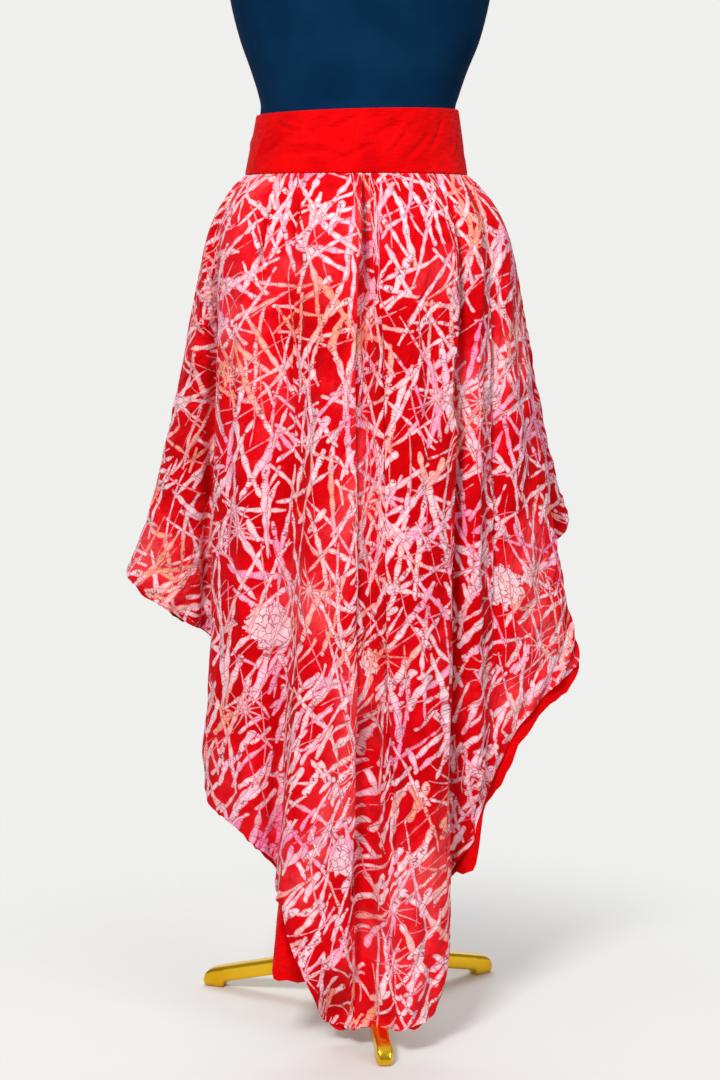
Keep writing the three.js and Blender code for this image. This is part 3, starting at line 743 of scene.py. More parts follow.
class WaxPrint:
    """Strokes of wax on the cloth: where wax lay, its tone, and where it cracked. Millimetres."""

    RIM = 0.2  # how far in from the wax's edge its rim is darkest
    CORE = 2.2  # how far in the wax is pure
    ABSENT = 40  # how far out of reach a stroke is put that isn't there
    BLUR = 0.8  # softness of the wax's edge
    KNEE, KNEE_SPAN = 470, 140  # how far down the strokes change, and over what length

    def __init__(self, pen, x, y):
        self.pen, self.x, self.y = pen, x, y
        self.wax, self.tone, self.crack, self.core = 0.0, 0.5, 0.0, 0.0

    def lay(self, wax, tone, crack, depth, present):
        """Lays a new layer over those before it. depth is the distance in from its edge."""
        pen = self.pen
        depth = depth - self.ABSENT * (1 - present)
        rim = pen.clamp(1 - pen.absolute(depth - self.RIM) * 1.6) * self.wax * 0.7
        self.tone = pen.blend(wax, self.tone, tone)
        self.crack = pen.larger(pen.blend(wax, self.crack, crack), rim)
        self.core = pen.blend(wax, self.core, pen.clamp(depth / self.CORE))
        self.wax = pen.larger(self.wax, wax)

    def spots(self, across, down, randomness):
        """The nearest of many scattered spots: its place, and three random values of its own."""
        spot = self.pen.voronoi(self.pen.vector(across, down), randomness)
        x, y, _ = self.pen.parts(self.pen.term(spot, "Position"))
        return x, y, *self.pen.parts(self.pen.term(spot, "Color"))

    def strokes(self, lean, reach, spacing, width, high, low, seed, taper=0.6, bead=6.0, turn=0.3, bend=0.4):
        """Strokes lean that many degrees off the fall of the cloth, and reach is half their length.

        high and low are the shares of them that are there above and below the knee.
        """
        pen = self.pen
        sin, cos = math.sin(math.radians(lean)), math.cos(math.radians(lean))
        cell = reach * 2.1
        along = (self.x * sin + self.y * cos) / cell + seed
        across = (self.x * cos - self.y * sin) / spacing + seed * 1.7
        spot_x, spot_y, r, g, b = self.spots(along, across, 0.85)
        da = (along - spot_x) * cell
        q = da / reach
        dc = (across - spot_y) * spacing + da * (r - 0.5) * turn + q * da * (g - 0.5) * bend
        swell = 1 + 0.2 * pen.sine(da * 0.31 + r * 60) - q * q * taper + q * (b - 0.5) * 0.5
        half = (0.65 + 0.7 * pen.fract(r * 9.1)) * swell * width
        # Each stroke is a bar with round ends, and the wax narrows where it cracked across.
        over_end = pen.larger(pen.absolute(da) - reach * (0.66 + 0.34 * b) + half, 0.0)
        pitch = da / bead + 0.4 * pen.sine(da * 0.55 + r * 40) + dc * (0.14 * (g - 0.5))
        to_crack = 0.5 - pen.absolute(pen.fract(pitch) - 0.5)
        cracked = pen.fract(pen.math("FLOOR", pitch + 0.5) * 0.37 + g * 3.1)
        open_here = pen.math("GREATER_THAN", cracked, 0.22)
        notch = pen.inside(0.12 - to_crack, 0.2) * open_here
        depth = half - notch * 0.6 - pen.length(dc, over_end)
        spot_down = (spot_x - seed) * (cell * cos) - (spot_y - seed * 1.7) * (spacing * sin)
        below_knee = pen.clamp((spot_down - self.KNEE) / self.KNEE_SPAN)
        share = high + (low - high) * below_knee
        present = pen.math("LESS_THAN", pen.fract(r * 5.3 + g * 2.9), share)
        wax = pen.inside(depth, self.BLUR) * present
        crack = pen.inside(0.07 - to_crack, 0.06) * open_here
        self.lay(wax, pen.fract(b * 3.3 + g * 1.7), crack, depth, present)

    def stars(self, cell, reach, rays, width, share, seed):
        """Bursts of thin rays."""
        pen = self.pen
        across, down = self.x / cell + seed, self.y / cell + seed
        spot_x, spot_y, r, g, b = self.spots(across, down, 0.8)
        dx, dy = (across - spot_x) * cell, (down - spot_y) * cell
        radius = pen.length(dx, dy)
        turn = pen.math("ARCTAN2", dx, dy) * (rays / (2 * math.pi)) + r * 7 + radius * 0.006
        to_ray = pen.absolute(pen.fract(turn) - 0.5) * radius * (2 * math.pi / rays)
        ray = pen.fract(pen.math("FLOOR", turn) * 0.618 + g)
        end = reach * (0.45 + 0.55 * ray)
        present = pen.math("LESS_THAN", pen.fract(b * 4.7 + r), share)
        depth = width * (1.25 - radius / end) - to_ray
        wax = pen.inside(depth, self.BLUR) * present * pen.inside(end - radius, 1.0)
        crack = pen.inside(0.06 - pen.absolute(pen.fract(radius / 6 + ray * 3) - 0.5), 0.05)
        self.lay(wax, 0.45 + 0.3 * ray, crack, depth, present)

    def clots(self, cell, reach, share, seed):
        """Round clots of wax that broke into crumbs."""
        pen = self.pen
        across, down = self.x / cell + seed, self.y / cell + seed
        spot_x, spot_y, r, g, b = self.spots(across, down, 0.8)
        dx, dy = (across - spot_x) * cell, (down - spot_y) * cell
        rough = pen.noise(pen.vector(self.x, self.y), 0.11, 2.0) - 0.5
        depth = reach * (0.6 + 0.5 * g) - (pen.length(dx, dy) + rough * 26)
        present = pen.math("LESS_THAN", pen.fract(r * 5.1 + b), share)
        crumb_place = pen.vector(self.x / 11 + rough * 0.9, self.y / 11 + rough * 0.9)
        edge = pen.term(pen.voronoi(crumb_place, 1.0, "DISTANCE_TO_EDGE"), "Distance")
        wax = pen.inside(depth, 1.0) * present
        self.lay(wax, 0.22 + 0.2 * b, pen.inside(0.05 - edge, 0.04), depth, present)


WAX_TONES = [
    (0.0, (0.92, 0.25, 0.50)),
    (0.2, (0.93, 0.40, 0.58)),
    (0.38, (0.92, 0.59, 0.67)),
    (0.62, (0.91, 0.65, 0.69)),
    (0.76, (0.94, 0.51, 0.48)),
    (0.92, (0.94, 0.36, 0.22)),
]
WAX_STAIN = (0.80, 0.24, 0.30, 1)
WAX_RIM = (0.78, 0.13, 0.19, 1)
CRACK = (0.46, 0.02, 0.05, 1)
DYE_TONES = [
    (0.38, (0.58, 0.0, 0.002)),
    (0.5, (0.69, 0.001, 0.005)),
    (0.6, (0.76, 0.012, 0.02)),
    (0.7, (0.82, 0.045, 0.052)),
]
WAVER = 16  # how far hand-laid strokes stray, in millimetres
COTTON = dict(Sheen_Weight=0.03, Sheen_Roughness=0.5, Specular_IOR_Level=0.02)


def print_material():
    pen = Pen("wax_print_cotton")
    flat_x, flat_y = pen.cloth()
    # Hand-laid strokes waver, so the cloth's coordinates are bent a little before they are drawn.
    place = pen.vector(flat_x, flat_y)
    waver_x = pen.noise(place, 0.011, 1.0) - 0.5
    waver_y = pen.noise(pen.vector(flat_y, flat_x), 0.012, 1.0) - 0.5
    x = flat_x + waver_x * WAVER
    y = flat_y + waver_y * WAVER

    wax = WaxPrint(pen, x, y)
    wax.strokes(lean=74, reach=62, spacing=38, width=2.9, high=0.66, low=0.22, seed=11.9)
    wax.strokes(lean=-10, reach=92, spacing=28, width=3.1, high=0.78, low=0.3, seed=3.3)
    wax.strokes(lean=38, reach=66, spacing=32, width=3.0, high=0.75, low=0.2, seed=23.1)
    wax.strokes(lean=-50, reach=25, spacing=15, width=3.2, high=0.14, low=0.7, seed=83.7, taper=0.15)
    wax.clots(cell=170, reach=27, share=0.33, seed=5.7)
    wax.strokes(lean=-66, reach=64, spacing=36, width=2.9, high=0.7, low=0.3, seed=31.7)
    wax.strokes(lean=16, reach=88, spacing=31, width=3.2, high=0.78, low=0.3, seed=43.3)
    wax.strokes(lean=-33, reach=76, spacing=30, width=3.2, high=0.78, low=0.45, seed=57.1)
    wax.stars(cell=120, reach=44, rays=11, width=1.2, share=0.4, seed=8.4)
    wax.strokes(lean=-26, reach=29, spacing=16, width=3.4, high=0.16, low=0.62, seed=91.3, taper=0.15)
    wax.strokes(lean=30, reach=20, spacing=19, width=2.7, high=0.15, low=0.32, seed=97.9, taper=0.1)
    wax.strokes(lean=8, reach=60, spacing=20, width=0.9, high=0.55, low=0.4, seed=61.9, bead=4, turn=0.5)
    wax.strokes(lean=-62, reach=46, spacing=22, width=0.8, high=0.55, low=0.4, seed=71.3, bead=4, turn=0.5)

    # A net of fine cracks runs through all the wax, in some parts more than in others.
    net = pen.voronoi(pen.vector(x / 17, y / 17), 1.0, "DISTANCE_TO_EDGE")
    region = pen.noise(place, 0.012, 2.0)
    fine = pen.inside(0.02 - pen.term(net, "Distance"), 0.02) * pen.inside(region - 0.5, 0.1)
    crack = pen.larger(wax.crack, fine) * wax.wax

    patch = pen.noise(pen.vector(flat_x + 400, flat_y), 0.0085, 1.0)
    tone = pen.clamp(wax.tone * 0.5 + (patch - 0.5) * 1.3 + 0.27)
    wax_colour = pen.ramp(tone, WAX_TONES)
    mottle = pen.noise(place, 0.07, 3.0)
    wax_colour = pen.mix(pen.clamp((mottle - 0.45) * 1.1), wax_colour, WAX_STAIN)
    # Dye crept in under the rims of the wax.
    wax_colour = pen.mix(pen.clamp(0.72 - wax.core), wax_colour, WAX_RIM)
    bath = pen.noise(place, 0.007, 1.0) * 0.75 + pen.noise(place, 0.05, 2.0) * 0.25
    colour = pen.mix(wax.wax, pen.ramp(bath, DYE_TONES), wax_colour)
    colour = pen.mix(crack * 0.85, colour, CRACK)

    creases = pen.noise(pen.vector(flat_x / 13 + flat_y / 60, flat_y / 26), 1.0, 2.0)
    small = pen.noise(pen.vector(flat_x / 3, flat_y / 5), 1.0, 3.0)
    normal = pen.bump(creases, 0.6, 0.009)
    normal = pen.bump(small, 0.35, 0.0016, normal)
    normal = pen.bump(weave(pen, flat_x, flat_y, 0.7), 0.3, 0.00012, normal)
    return pen.shade(Base_Color=colour, Roughness=0.56 + 0.16 * mottle, Normal=normal, **COTTON)


def plain_cotton_material(name, dark, bright):
    pen = Pen(name)
    x, y = pen.cloth()
    place = pen.vector(x, y)
    slub = pen.noise(pen.vector(x / 14, y * 1.4), 1.0, 2.0)
    cloudy = pen.noise(place, 0.02, 3.0)
    colour = pen.ramp(cloudy * 0.75 + slub * 0.25, [(0.32, dark), (0.68, bright)])
    normal = pen.bump(pen.noise(pen.vector(x / 16, y / 9), 1.0, 3.0), 0.8, 0.0034)
    normal = pen.bump(slub, 0.25, 0.0003, normal)
    normal = pen.bump(weave(pen, x, y, 0.6), 0.35, 0.00012, normal)
    return pen.shade(Base_Color=colour, Roughness=0.6 + 0.2 * slub, Normal=normal, **COTTON)


FORM_WALES = 1050  # round the form
FORM_COURSE = 0.0007  # metres from one course of the knit to the next


def form_cover_material():
    pen = Pen("navy_jersey")
    place = pen.object_place()
    x, y, z = pen.parts(place)
    wale = pen.sine(pen.math("ARCTAN2", x - POLE_X, y - POLE_Y) * FORM_WALES)
    course = pen.sine(z * (2 * math.pi / FORM_COURSE) + wale * 1.2)
    cloudy = pen.noise(place, 13.0, 3.0, dimensions="3D")
    navy = [(0.3, (0.0010, 0.016, 0.048)), (0.7, (0.0028, 0.026, 0.072))]
    colour = pen.ramp(cloudy + course * 0.02, navy)
    normal = pen.bump(wale * 0.5 + course * 0.5, 0.3, 0.00015)
    normal = pen.bump(pen.noise(place, 33.0, 2.0, dimensions="3D"), 0.3, 0.001, normal)
    return pen.shade(
        Base_Color=colour, Roughness=0.75 + 0.15 * cloudy, Normal=normal, Sheen_Weight=0.01,
        Sheen_Roughness=0.4, Specular_IOR_Level=0.02,
    )


def brass_material():
    pen = Pen("polished_brass")
    place = pen.object_place()
    cloudy = pen.noise(place, 14.0, 3.0, dimensions="3D")
    grain = pen.noise(place, 420.0, 2.0, dimensions="3D")
    colour = pen.ramp(cloudy, [(0.3, (0.80, 0.43, 0.012)), (0.7, (0.92, 0.58, 0.03))])
    rough = 0.13 + 0.12 * cloudy + 0.04 * grain
    normal = pen.bump(grain, 0.06, 0.0003)
    return pen.shade(Base_Color=colour, Metallic=1.0, Roughness=rough, Normal=normal)


FLOOR_RADIUS = 0.86
FLOOR_FADE = 0.16  # how far from its middle the floor begins to fade out
FLOOR_DEPTH = 0.0002
FLOOR_SIDES = 96


def floor_material():
    """Pale paper that fades out into the light all round it."""
    pen = Pen("studio_floor")
    x, y, _ = pen.parts(pen.object_place())
    cloudy = pen.noise(pen.vector(x, y), 1.3, 3.0)
    colour = pen.ramp(cloudy, [(0.3, (0.67, 0.668, 0.66)), (0.7, (0.69, 0.688, 0.68))])
    pen.shade(Base_Color=colour, Roughness=0.9 + 0.05 * cloudy, Specular_IOR_Level=0.1)
    reach = {"Value": pen.length(x, y), 1: FLOOR_FADE, 2: FLOOR_RADIUS}
    fade = pen.node("MapRange", reach, interpolation_type="SMOOTHERSTEP")
    both = pen.node("MixShader", {0: pen.term(fade)})
    pen.tree.links.new(pen.shader.outputs[0], both.inputs[1])
    pen.tree.links.new(pen.node("BsdfTransparent").outputs[0], both.inputs[2])
    pen.tree.links.new(both.outputs[0], pen.tree.nodes["Material Output"].inputs[0])
    return pen.material


print_cotton = print_material()
lining_cotton = plain_cotton_material("plain_red_lining", (0.66, 0.0, 0.001), (0.78, 0.001, 0.002))
band_cotton = plain_cotton_material("plain_red_waistband", (0.58, 0.0, 0.001), (0.80, 0.001, 0.002))
form_cover = form_cover_material()
brass = brass_material()

# ---------------------------------------------------------------- skirt panels and lining
ROWS = 192
ROW_GROWTH = 1.12  # rows are closer together at the hips
LINING_ROWS = 8  # rows that the lining has below the print
# Columns are this wide at the hip, in millimetres, and finer where a folded edge runs.
HIP_STEP = 2.1
FOLD_STEP = 1.05
FLARE_LINE = 1  # the left flare's deep crease takes the finer step too


def place_columns(first, last):
    """The places of the surface's columns."""
    hip = LINES[:, 1:3]
    folded = {math.floor(place % LINE_COUNT) for path, *_ in FOLDED_EDGES for place, _ in path} | {FLARE_LINE}
    places = []
    for k in range(first, last):
        apart = np.linalg.norm(hip[(k + 1) % LINE_COUNT] - hip[k % LINE_COUNT])
        count = round(apart / (FOLD_STEP if k % LINE_COUNT in folded else HIP_STEP))
        places.append(k + np.arange(count) / count)
    return np.concatenate([*places, [last]])


PLACES = place_columns(-1, 39)
DOWN = (np.arange(ROWS + 1) / ROWS) ** ROW_GROWTH
PAST_HEM = 1 + np.arange(1, LINING_ROWS + 1) / LINING_ROWS
PRINT_FACE, LINING_FACE = creased_surface(PLACES, np.concatenate([DOWN, PAST_HEM]))
SEAM_DIP = 0.55  # how far each panel dips into the seam beside it
# The turned hem, in shares of the way down: where it ends, and where its stitches run.
HEM_TURN = 0.978
HEM_STITCHED = 0.984
HEM_THICKER = 0.5
HEM_GROOVE = 0.35
STITCH_OUT = 0.1  # how far the middle of the thread lies off the cloth


def cut(face, first, last, rows, columns=1):
    """Part of a face between two places, on the given rows, and its normals."""
    chosen = np.flatnonzero((PLACES >= first - 1e-9) & (PLACES <= last + 1e-9))
    if columns > 1:
        chosen = np.unique(np.append(chosen[::columns], chosen[-1]))
    grid = np.ix_(rows, chosen)
    points, normals = face[grid].copy(), surface_normals(face)[grid]
    # The last columns stop short of the neighbour, and dip into the seam.
    for end, beside in ((0, 1), (-1, -2)):
        towards = points[:, beside] - points[:, end]
        length = np.linalg.norm(towards, axis=-1, keepdims=True)
        points[:, end] += towards * (GAP / 2 / np.maximum(length, 1e-6)) - normals[:, end] * SEAM_DIP
    return points, normals, PLACES[chosen]


def sheet_size(cloth):
    """Width and length of the flat cut, in metres."""
    return float(np.ptp(cloth[..., 0])), float(np.ptp(cloth[..., 1]))


def add_panel(name, node, first, last, middle, row_step):
    rows = np.unique(np.append(np.arange(0, ROWS + 1, row_step), ROWS))
    points, normals, places = cut(PRINT_FACE, first, last, rows)
    cloth = cloth_coordinates(points, int(np.argmin(np.abs(places - middle))))
    share = DOWN[rows][:, None, None]
    thicker = HEM_THICKER * smooth_step((share - HEM_TURN) / 0.006)
    groove = HEM_GROOVE * bell((share - HEM_TURN) / 0.0035)
    outer, inner = points - normals * groove, points - normals * (PRINT_CLOTH + thicker)
    stitched = int(np.argmin(np.abs(DOWN[rows] - HEM_STITCHED)))
    stitch_lines.append(points[stitched, 1:-1] + normals[stitched, 1:-1] * STITCH_OUT)
    piece = add_wall(name, outer, inner, print_cotton, cloth)
    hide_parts(node)
    width, length = sheet_size(cloth)
    min(face_area(points), width * length)


def add_lining(name, first, last, middle):
    rows = np.unique(np.concatenate([np.arange(0, ROWS + 1, 2), ROWS + 1 + np.arange(LINING_ROWS)]))
    outer, normals, places = cut(LINING_FACE, first, last, rows, columns=2)
    cloth = cloth_coordinates(outer, int(np.argmin(np.abs(places - middle))))
    inner = outer - normals * LINING_CLOTH
    stitch_lines.append(outer[-3, 1:-1] + normals[-3, 1:-1] * STITCH_OUT)
    piece = add_wall(name + "_cloth", outer, inner, lining_cotton, cloth)
    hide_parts(name)
    width, length = sheet_size(cloth)
    min(face_area(outer), width * length)


stitch_lines = []

# ---------------------------------------------------------------- waistband
BAND_STEPS = 560
BAND_ROWS = 46
BAND_RELIEF = 2.2  # the band's creases stay under this height
BAND_HEIGHT = 74.5  # laid flat
EDGE_ROWS = 4  # rows over its folded top edge
BAND_CREASES = [
    # bearing and share of the band's height at one end, and at the other, width, depth
    (-44, 0.34, -8, 0.30, 3.2, -4.2),
    (-42, 0.50, -14, 0.46, 3.0, 3.08),
    (-60, 0.30, -30, 0.74, 3.4, -3.36),
    (-52, 0.86, -30, 0.62, 2.6, -2.52),
    (-20, 0.66, 2, 0.86, 3.2, -2.8),
    (-14, 0.18, 10, 0.42, 3.4, -3.08),
    (-4, 0.10, 2, 0.92, 1.8, -2.52),
    (4, 0.55, 24, 0.76, 3.4, -2.8),
    (12, 0.28, 30, 0.82, 3.0, 2.8),
    (22, 0.16, 44, 0.60, 3.2, -3.36),
    (40, 0.32, 56, 0.84, 3.0, -3.08),
    (58, 0.24, 68, 0.70, 2.6, 2.52),
    (-68, 0.16, -58, 0.72, 2.6, 2.8),
    (84, 0.30, 112, 0.58, 3.4, -3.36),
    (104, 0.72, 132, 0.42, 3.2, -3.08),
    (128, 0.24, 150, 0.66, 3.0, 2.8),
    (146, 0.56, 176, 0.40, 3.4, -3.64),
    (172, 0.20, 190, 0.72, 3.0, -2.8),
    (186, 0.62, 214, 0.36, 3.2, 2.8),
    (208, 0.30, 236, 0.60, 3.4, -3.36),
    (232, 0.76, 254, 0.42, 3.0, -2.8),
    (250, 0.26, 272, 0.62, 3.2, 2.8),
    (268, 0.58, 286, 0.30, 3.0, -2.8),
]
BAND_JOINS = (-72, 6, 72, 288)
BAND_NAMES = ("waistband_back_left", "waistband_back_right", "waistband_front")


def band_relief(bearing, share):
    """How far the band stands out at each bearing and share of its height."""
    height = WAIST_OVAL["z"] - SEAM_Z
    girth = math.radians(1) * 120  # millimetres round for each degree
    relief = 0.35 * np.sin(np.radians(bearing) * 11 + share * 3) * np.sin(share * math.pi)
    for from_bearing, from_share, to_bearing, to_share, width, depth in BAND_CREASES:
        for turn in (0, 360, -360):
            run = np.array([(to_bearing - from_bearing) * girth, (to_share - from_share) * height])
            span = np.hypot(*run)
            x = (bearing - from_bearing - turn) * girth
            y = (share - from_share) * height
            q = (x * run[0] + y * run[1]) / span
            off = (y * run[0] - x * run[1]) / span + 1.6 * np.sin(q / 11)
            ends = smooth_step(q / span / 0.35 + 0.1) * smooth_step((1 - q / span) / 0.35 + 0.1)
            relief += depth * ends * bell(off / width) * ((q > -0.1 * span) & (q < 1.1 * span))
    return relief * smooth_step(share / 0.12) * smooth_step((1 - share) / 0.1)


def add_waistband(name, from_bearing, to_bearing):
    steps = round((to_bearing - from_bearing) / 360 * BAND_STEPS)
    bearing = np.linspace(from_bearing, to_bearing, steps + 1)
    edge = math.degrees(0.03 / SEAM_OVAL["depth"])
    bearing[0] += edge
    bearing[-1] -= edge
    share = np.linspace(1, 0, BAND_ROWS + 1)
    b, v = np.meshgrid(bearing, share)
    # Each join turns in.
    ends = bell((b - from_bearing) / 0.7) + bell((b - to_bearing) / 0.7)
    relief = BAND_RELIEF * np.tanh(band_relief(b, v) / BAND_RELIEF) - 0.15 * ends
    oval = band_oval(v * (1 + BAND_TILT * np.sin(np.radians(b))))
    outer, inner = oval_point(oval, b, -relief), oval_point(oval, b, BAND_CLOTH)
    girth = lengths_round(outer)
    down = (1 - v) * BAND_HEIGHT
    cloth = np.stack([girth + from_bearing * 2.1, down, np.zeros_like(v)], -1) * MM
    # The folded top edge is round, so its rows close over it.
    roll = BAND_CLOTH / 2
    turn = np.radians(90 * np.arange(1, EDGE_ROWS + 1) / EDGE_ROWS)[:, None, None]
    middle_top, out_top = (outer[0] + inner[0]) / 2, (outer[0] - inner[0]) / 2
    up = np.array([0, 0, roll])
    out, rise = out_top * np.cos(turn), up * (np.sin(turn) - 1)
    top_outer, top_inner = middle_top + out + rise, middle_top - out + rise
    for face in (outer, inner):
        face[:, :, 2] -= roll * bell((1 - v) / 0.02)
    outer = np.concatenate([top_outer[::-1], outer])
    inner = np.concatenate([top_inner[::-1] - np.array([0, 0, 0.05]), inner])
    cloth = np.concatenate([np.repeat(cloth[:1], EDGE_ROWS, 0), cloth])
    # The seam below turns in.
    tuck = np.append(np.zeros(EDGE_ROWS), bell(share / 0.022))[:, None, None]
    outer = outer - (outer - inner) * (0.35 * tuck)
    cloth_name = name.replace("waistband", "waistband_cloth")
    piece = add_wall(cloth_name, outer, inner, band_cotton, cloth)
    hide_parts(name)


for band_name, start, end in zip(BAND_NAMES, BAND_JOINS, BAND_JOINS[1:]):
    add_waistband(band_name, start, end)

add_panel("printed_back_left", "skirt_back_left", 2, 12, 12, 1)
add_panel("printed_back_right", "skirt_back_right", 12, 21, 12, 1)
add_panel("printed_front", "skirt_front", 21, 38, 28, 2)
add_lining("lining_left", -1, 12, 12)
add_lining("lining_right", 12, 21, 12)

# ---------------------------------------------------------------- hem stitches
STITCHES = {
    "Pitch": 4 * MM, "Stitch length": 3 * MM, "Thread radius": 0.35 * MM, "Unevenness": 0.12, "Seed": 7,
}


def thread_material():
    pen = Pen("red_thread")
    place = pen.object_place()
    fuzz = pen.noise(place, 900.0, 2.0, dimensions="3D")
    twist = pen.noise(place, 2600.0, 1.0, dimensions="3D")
    colour = pen.ramp(fuzz, [(0.3, (0.40, 0.0, 0.006)), (0.7, (0.60, 0.008, 0.018))])
    normal = pen.bump(twist, 0.4, 0.0001)
    return pen.shade(Base_Color=colour, Roughness=0.6 + 0.2 * fuzz, Normal=normal, Specular_IOR_Level=0.1)


def stitch_tree(material):
    """Small round stitches, one after the other along a line."""
    tree = bpy.data.node_groups.new("stitches", "GeometryNodeTree")
    sockets = {}

    def socket(name, kind, way="INPUT"):
        made = tree.interface.new_socket(name, in_out=way, socket_type="NodeSocket" + kind)
        sockets[name] = made.identifier

    socket("Line", "Geometry")
    for name in ("Pitch", "Stitch length", "Thread radius", "Unevenness"):
        socket(name, "Float")
    socket("Seed", "Int")
    socket("Stitches", "Geometry", "OUTPUT")
    given = tree.nodes.new("NodeGroupInput")
    result = tree.nodes.new("NodeGroupOutput")

    def node(kind, inputs, **settings):
        made = tree.nodes.new(kind)
        for key, value in settings.items():
            setattr(made, key, value)
        for key, value in inputs.items():
            if isinstance(value, bpy.types.NodeSocket):
                tree.links.new(value, made.inputs[key])
            else:
                made.inputs[key].default_value = value
        return made

    pitch, long, thick, uneven, seed = (
        given.outputs[name] for name in ("Pitch", "Stitch length", "Thread radius", "Unevenness", "Seed")
    )
    line = node("GeometryNodeMeshToCurve", {"Mesh": given.outputs["Line"]})
    spots = node("GeometryNodeCurveToPoints", {"Curve": line.outputs[0], "Length": pitch}, mode="LENGTH")
    bead = node("GeometryNodeMeshUVSphere", {"Segments": 6, "Rings": 5, "Radius": thick})
    slim = node("ShaderNodeMath", {0: long, 1: thick}, operation="DIVIDE")
    half = node("ShaderNodeMath", {0: slim.outputs[0], 1: 0.5}, operation="MULTIPLY")
    shape = node("ShaderNodeCombineXYZ", {0: 1.0, 1: 1.0, 2: half.outputs[0]})
    stitch = node("GeometryNodeTransform", {"Geometry": bead.outputs["Mesh"], "Scale": shape.outputs[0]})
    other_way = node("ShaderNodeMath", {0: uneven, 1: -1.0}, operation="MULTIPLY")
    between = {2: other_way.outputs[0], 3: uneven, "Seed": seed}
    lean = node("FunctionNodeRandomValue", between, data_type="FLOAT")
    turn = node("ShaderNodeCombineXYZ", {0: lean.outputs[1]})
    spot, facing = spots.outputs["Points"], spots.outputs["Rotation"]
    row = {"Points": spot, "Instance": stitch.outputs[0], "Rotation": facing}
    placed = node("GeometryNodeInstanceOnPoints", row)
    turned = node("GeometryNodeRotateInstances", {"Instances": placed.outputs[0], "Rotation": turn.outputs[0]})
    real = node("GeometryNodeRealizeInstances", {"Geometry": turned.outputs[0]})
    last = node("GeometryNodeSetMaterial", {"Geometry": real.outputs[0], "Material": material})
    tree.links.new(last.outputs[0], result.inputs["Stitches"])
    return tree, sockets


def add_stitches():
    mesh = bpy.data.meshes.new("hem_stitches")
    points, edges = [], []
    for line in stitch_lines:
        edges += [(len(points) + k, len(points) + k + 1) for k in range(len(line) - 1)]
        points += ((line + SHIFT) * MM).tolist()
    mesh.from_pydata(points, edges, [])
    piece = bpy.data.objects.new("hem_stitches", mesh)
    bpy.context.scene.collection.objects.link(piece)
    tree, sockets = stitch_tree(thread_material())
    modifier = piece.modifiers.new("stitches", "NODES")
    modifier.node_group = tree
    for name, value in STITCHES.items():
        modifier[sockets[name]] = value
    evaluated = piece.evaluated_get(bpy.context.evaluated_depsgraph_get())
    made = bpy.data.meshes.new_from_object(evaluated)
    piece.modifiers.clear()
    piece.data = made
    made.shade_smooth()
    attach(piece, "root")


add_stitches()

# ---------------------------------------------------------------- dress form
FORM_STEPS = 168
FORM_RISE = 5.0  # about how far one ring of the form is above the last


def smooth_sections():
    """Rings drawn smoothly through the form's sections."""
    sections = form_sections()
    keys = ("x", "width", "front", "back")
    heights = np.array([one["z"] for one in sections], float)
    table = np.array([[one[key] for key in keys] for one in sections], float)
    rise = np.diff(heights)
    slope = np.diff(table, axis=0) / rise[:, None]
    tangent = np.zeros_like(table)
    tangent[0], tangent[-1] = slope[0], slope[-1]
    for k in range(1, len(heights) - 1):
        before, after = slope[k - 1], slope[k]
        even = 2 * before * after / np.where(before + after == 0, 1, before + after)
        tangent[k] = np.where(before * after > 0, even, 0)
    rings = []
    for k, high in enumerate(rise):
        count = max(2, round(high / FORM_RISE))
        for t in np.arange(count) / count:
            a = (1 + 2 * t) * (1 - t) ** 2 * table[k] + t * (1 - t) ** 2 * high * tangent[k]
            b = t * t * (3 - 2 * t) * table[k + 1] + t * t * (t - 1) * high * tangent[k + 1]
            rings.append((heights[k] + t * high, *(a + b)))
    rings.append((heights[-1], *table[-1]))
    return [dict(zip(("z", *keys), ring)) for ring in rings]


def loft(rings, name, material, sharp=50):
    """A closed body through rings of points, with a flat lid at each end."""
    count = len(rings[0])
    points = np.concatenate([*rings, [np.mean(rings[0], 0)], [np.mean(rings[-1], 0)]])
    faces = []
    for j in range(len(rings) - 1):
        for i in range(count):
            n = (i + 1) % count
            faces.append((j * count + i, j * count + n, (j + 1) * count + n, (j + 1) * count + i))
    low, high = len(points) - 2, len(points) - 1
    last = (len(rings) - 1) * count
    for i in range(count):
        n = (i + 1) % count
        faces.append((low, n, i))
        faces.append((high, last + i, last + n))
    return add_piece(name, points, faces, material, sharp=sharp)


def add_form():
    bearing = np.arange(FORM_STEPS) * 360 / FORM_STEPS
    rings = [oval_point(one, bearing) for one in smooth_sections()]
    piece = loft(rings, "form_torso_cover", form_cover)
    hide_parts("form_torso")


add_form()

# ---------------------------------------------------------------- stand
for node in ("neck_cap", "pole_socket", "pole", "hub"):
    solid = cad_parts[node]
    solid.data.materials.clear()
    solid.data.materials.append(brass)

STAND_X = -1
HUB_APOTHEM = 24
LEG_BEARING = 8
LEG_REACH = 218
LEG_HALF_WIDTH = 9.8
# Distance from the pole, height of the underside, height of the top.
LEG_STATIONS = [
    (HUB_APOTHEM + GAP, 52, 70), (26, 51.2, 70.2), (60, 41.2, 62.6), (110, 27.9, 49.6), (160, 14.8, 36.5),
    (184, 8.6, 30.0), (187, 7.6, 29.1), (188.5, 3, 28.7), (190, 0.6, 28.3), (192, 0, 27.8), (199, 0, 25.9),
    (204, 0, 24.3), (208, 0, 22.5), (211, 0, 20.3), (213.5, 0.3, 17.6), (215.6, 1.1, 14.6), (217, 2.4, 11.3),
    (217.8, 4.2, 8.4),
]
LEG_SECTION_POINTS = 36
LEG_SQUARENESS = 5.0  # 2 would be an oval section
LEG_ROUNDING = 0.9  # the tip's rounding begins this many half widths before its end
LEG_NARROWING = 0.72


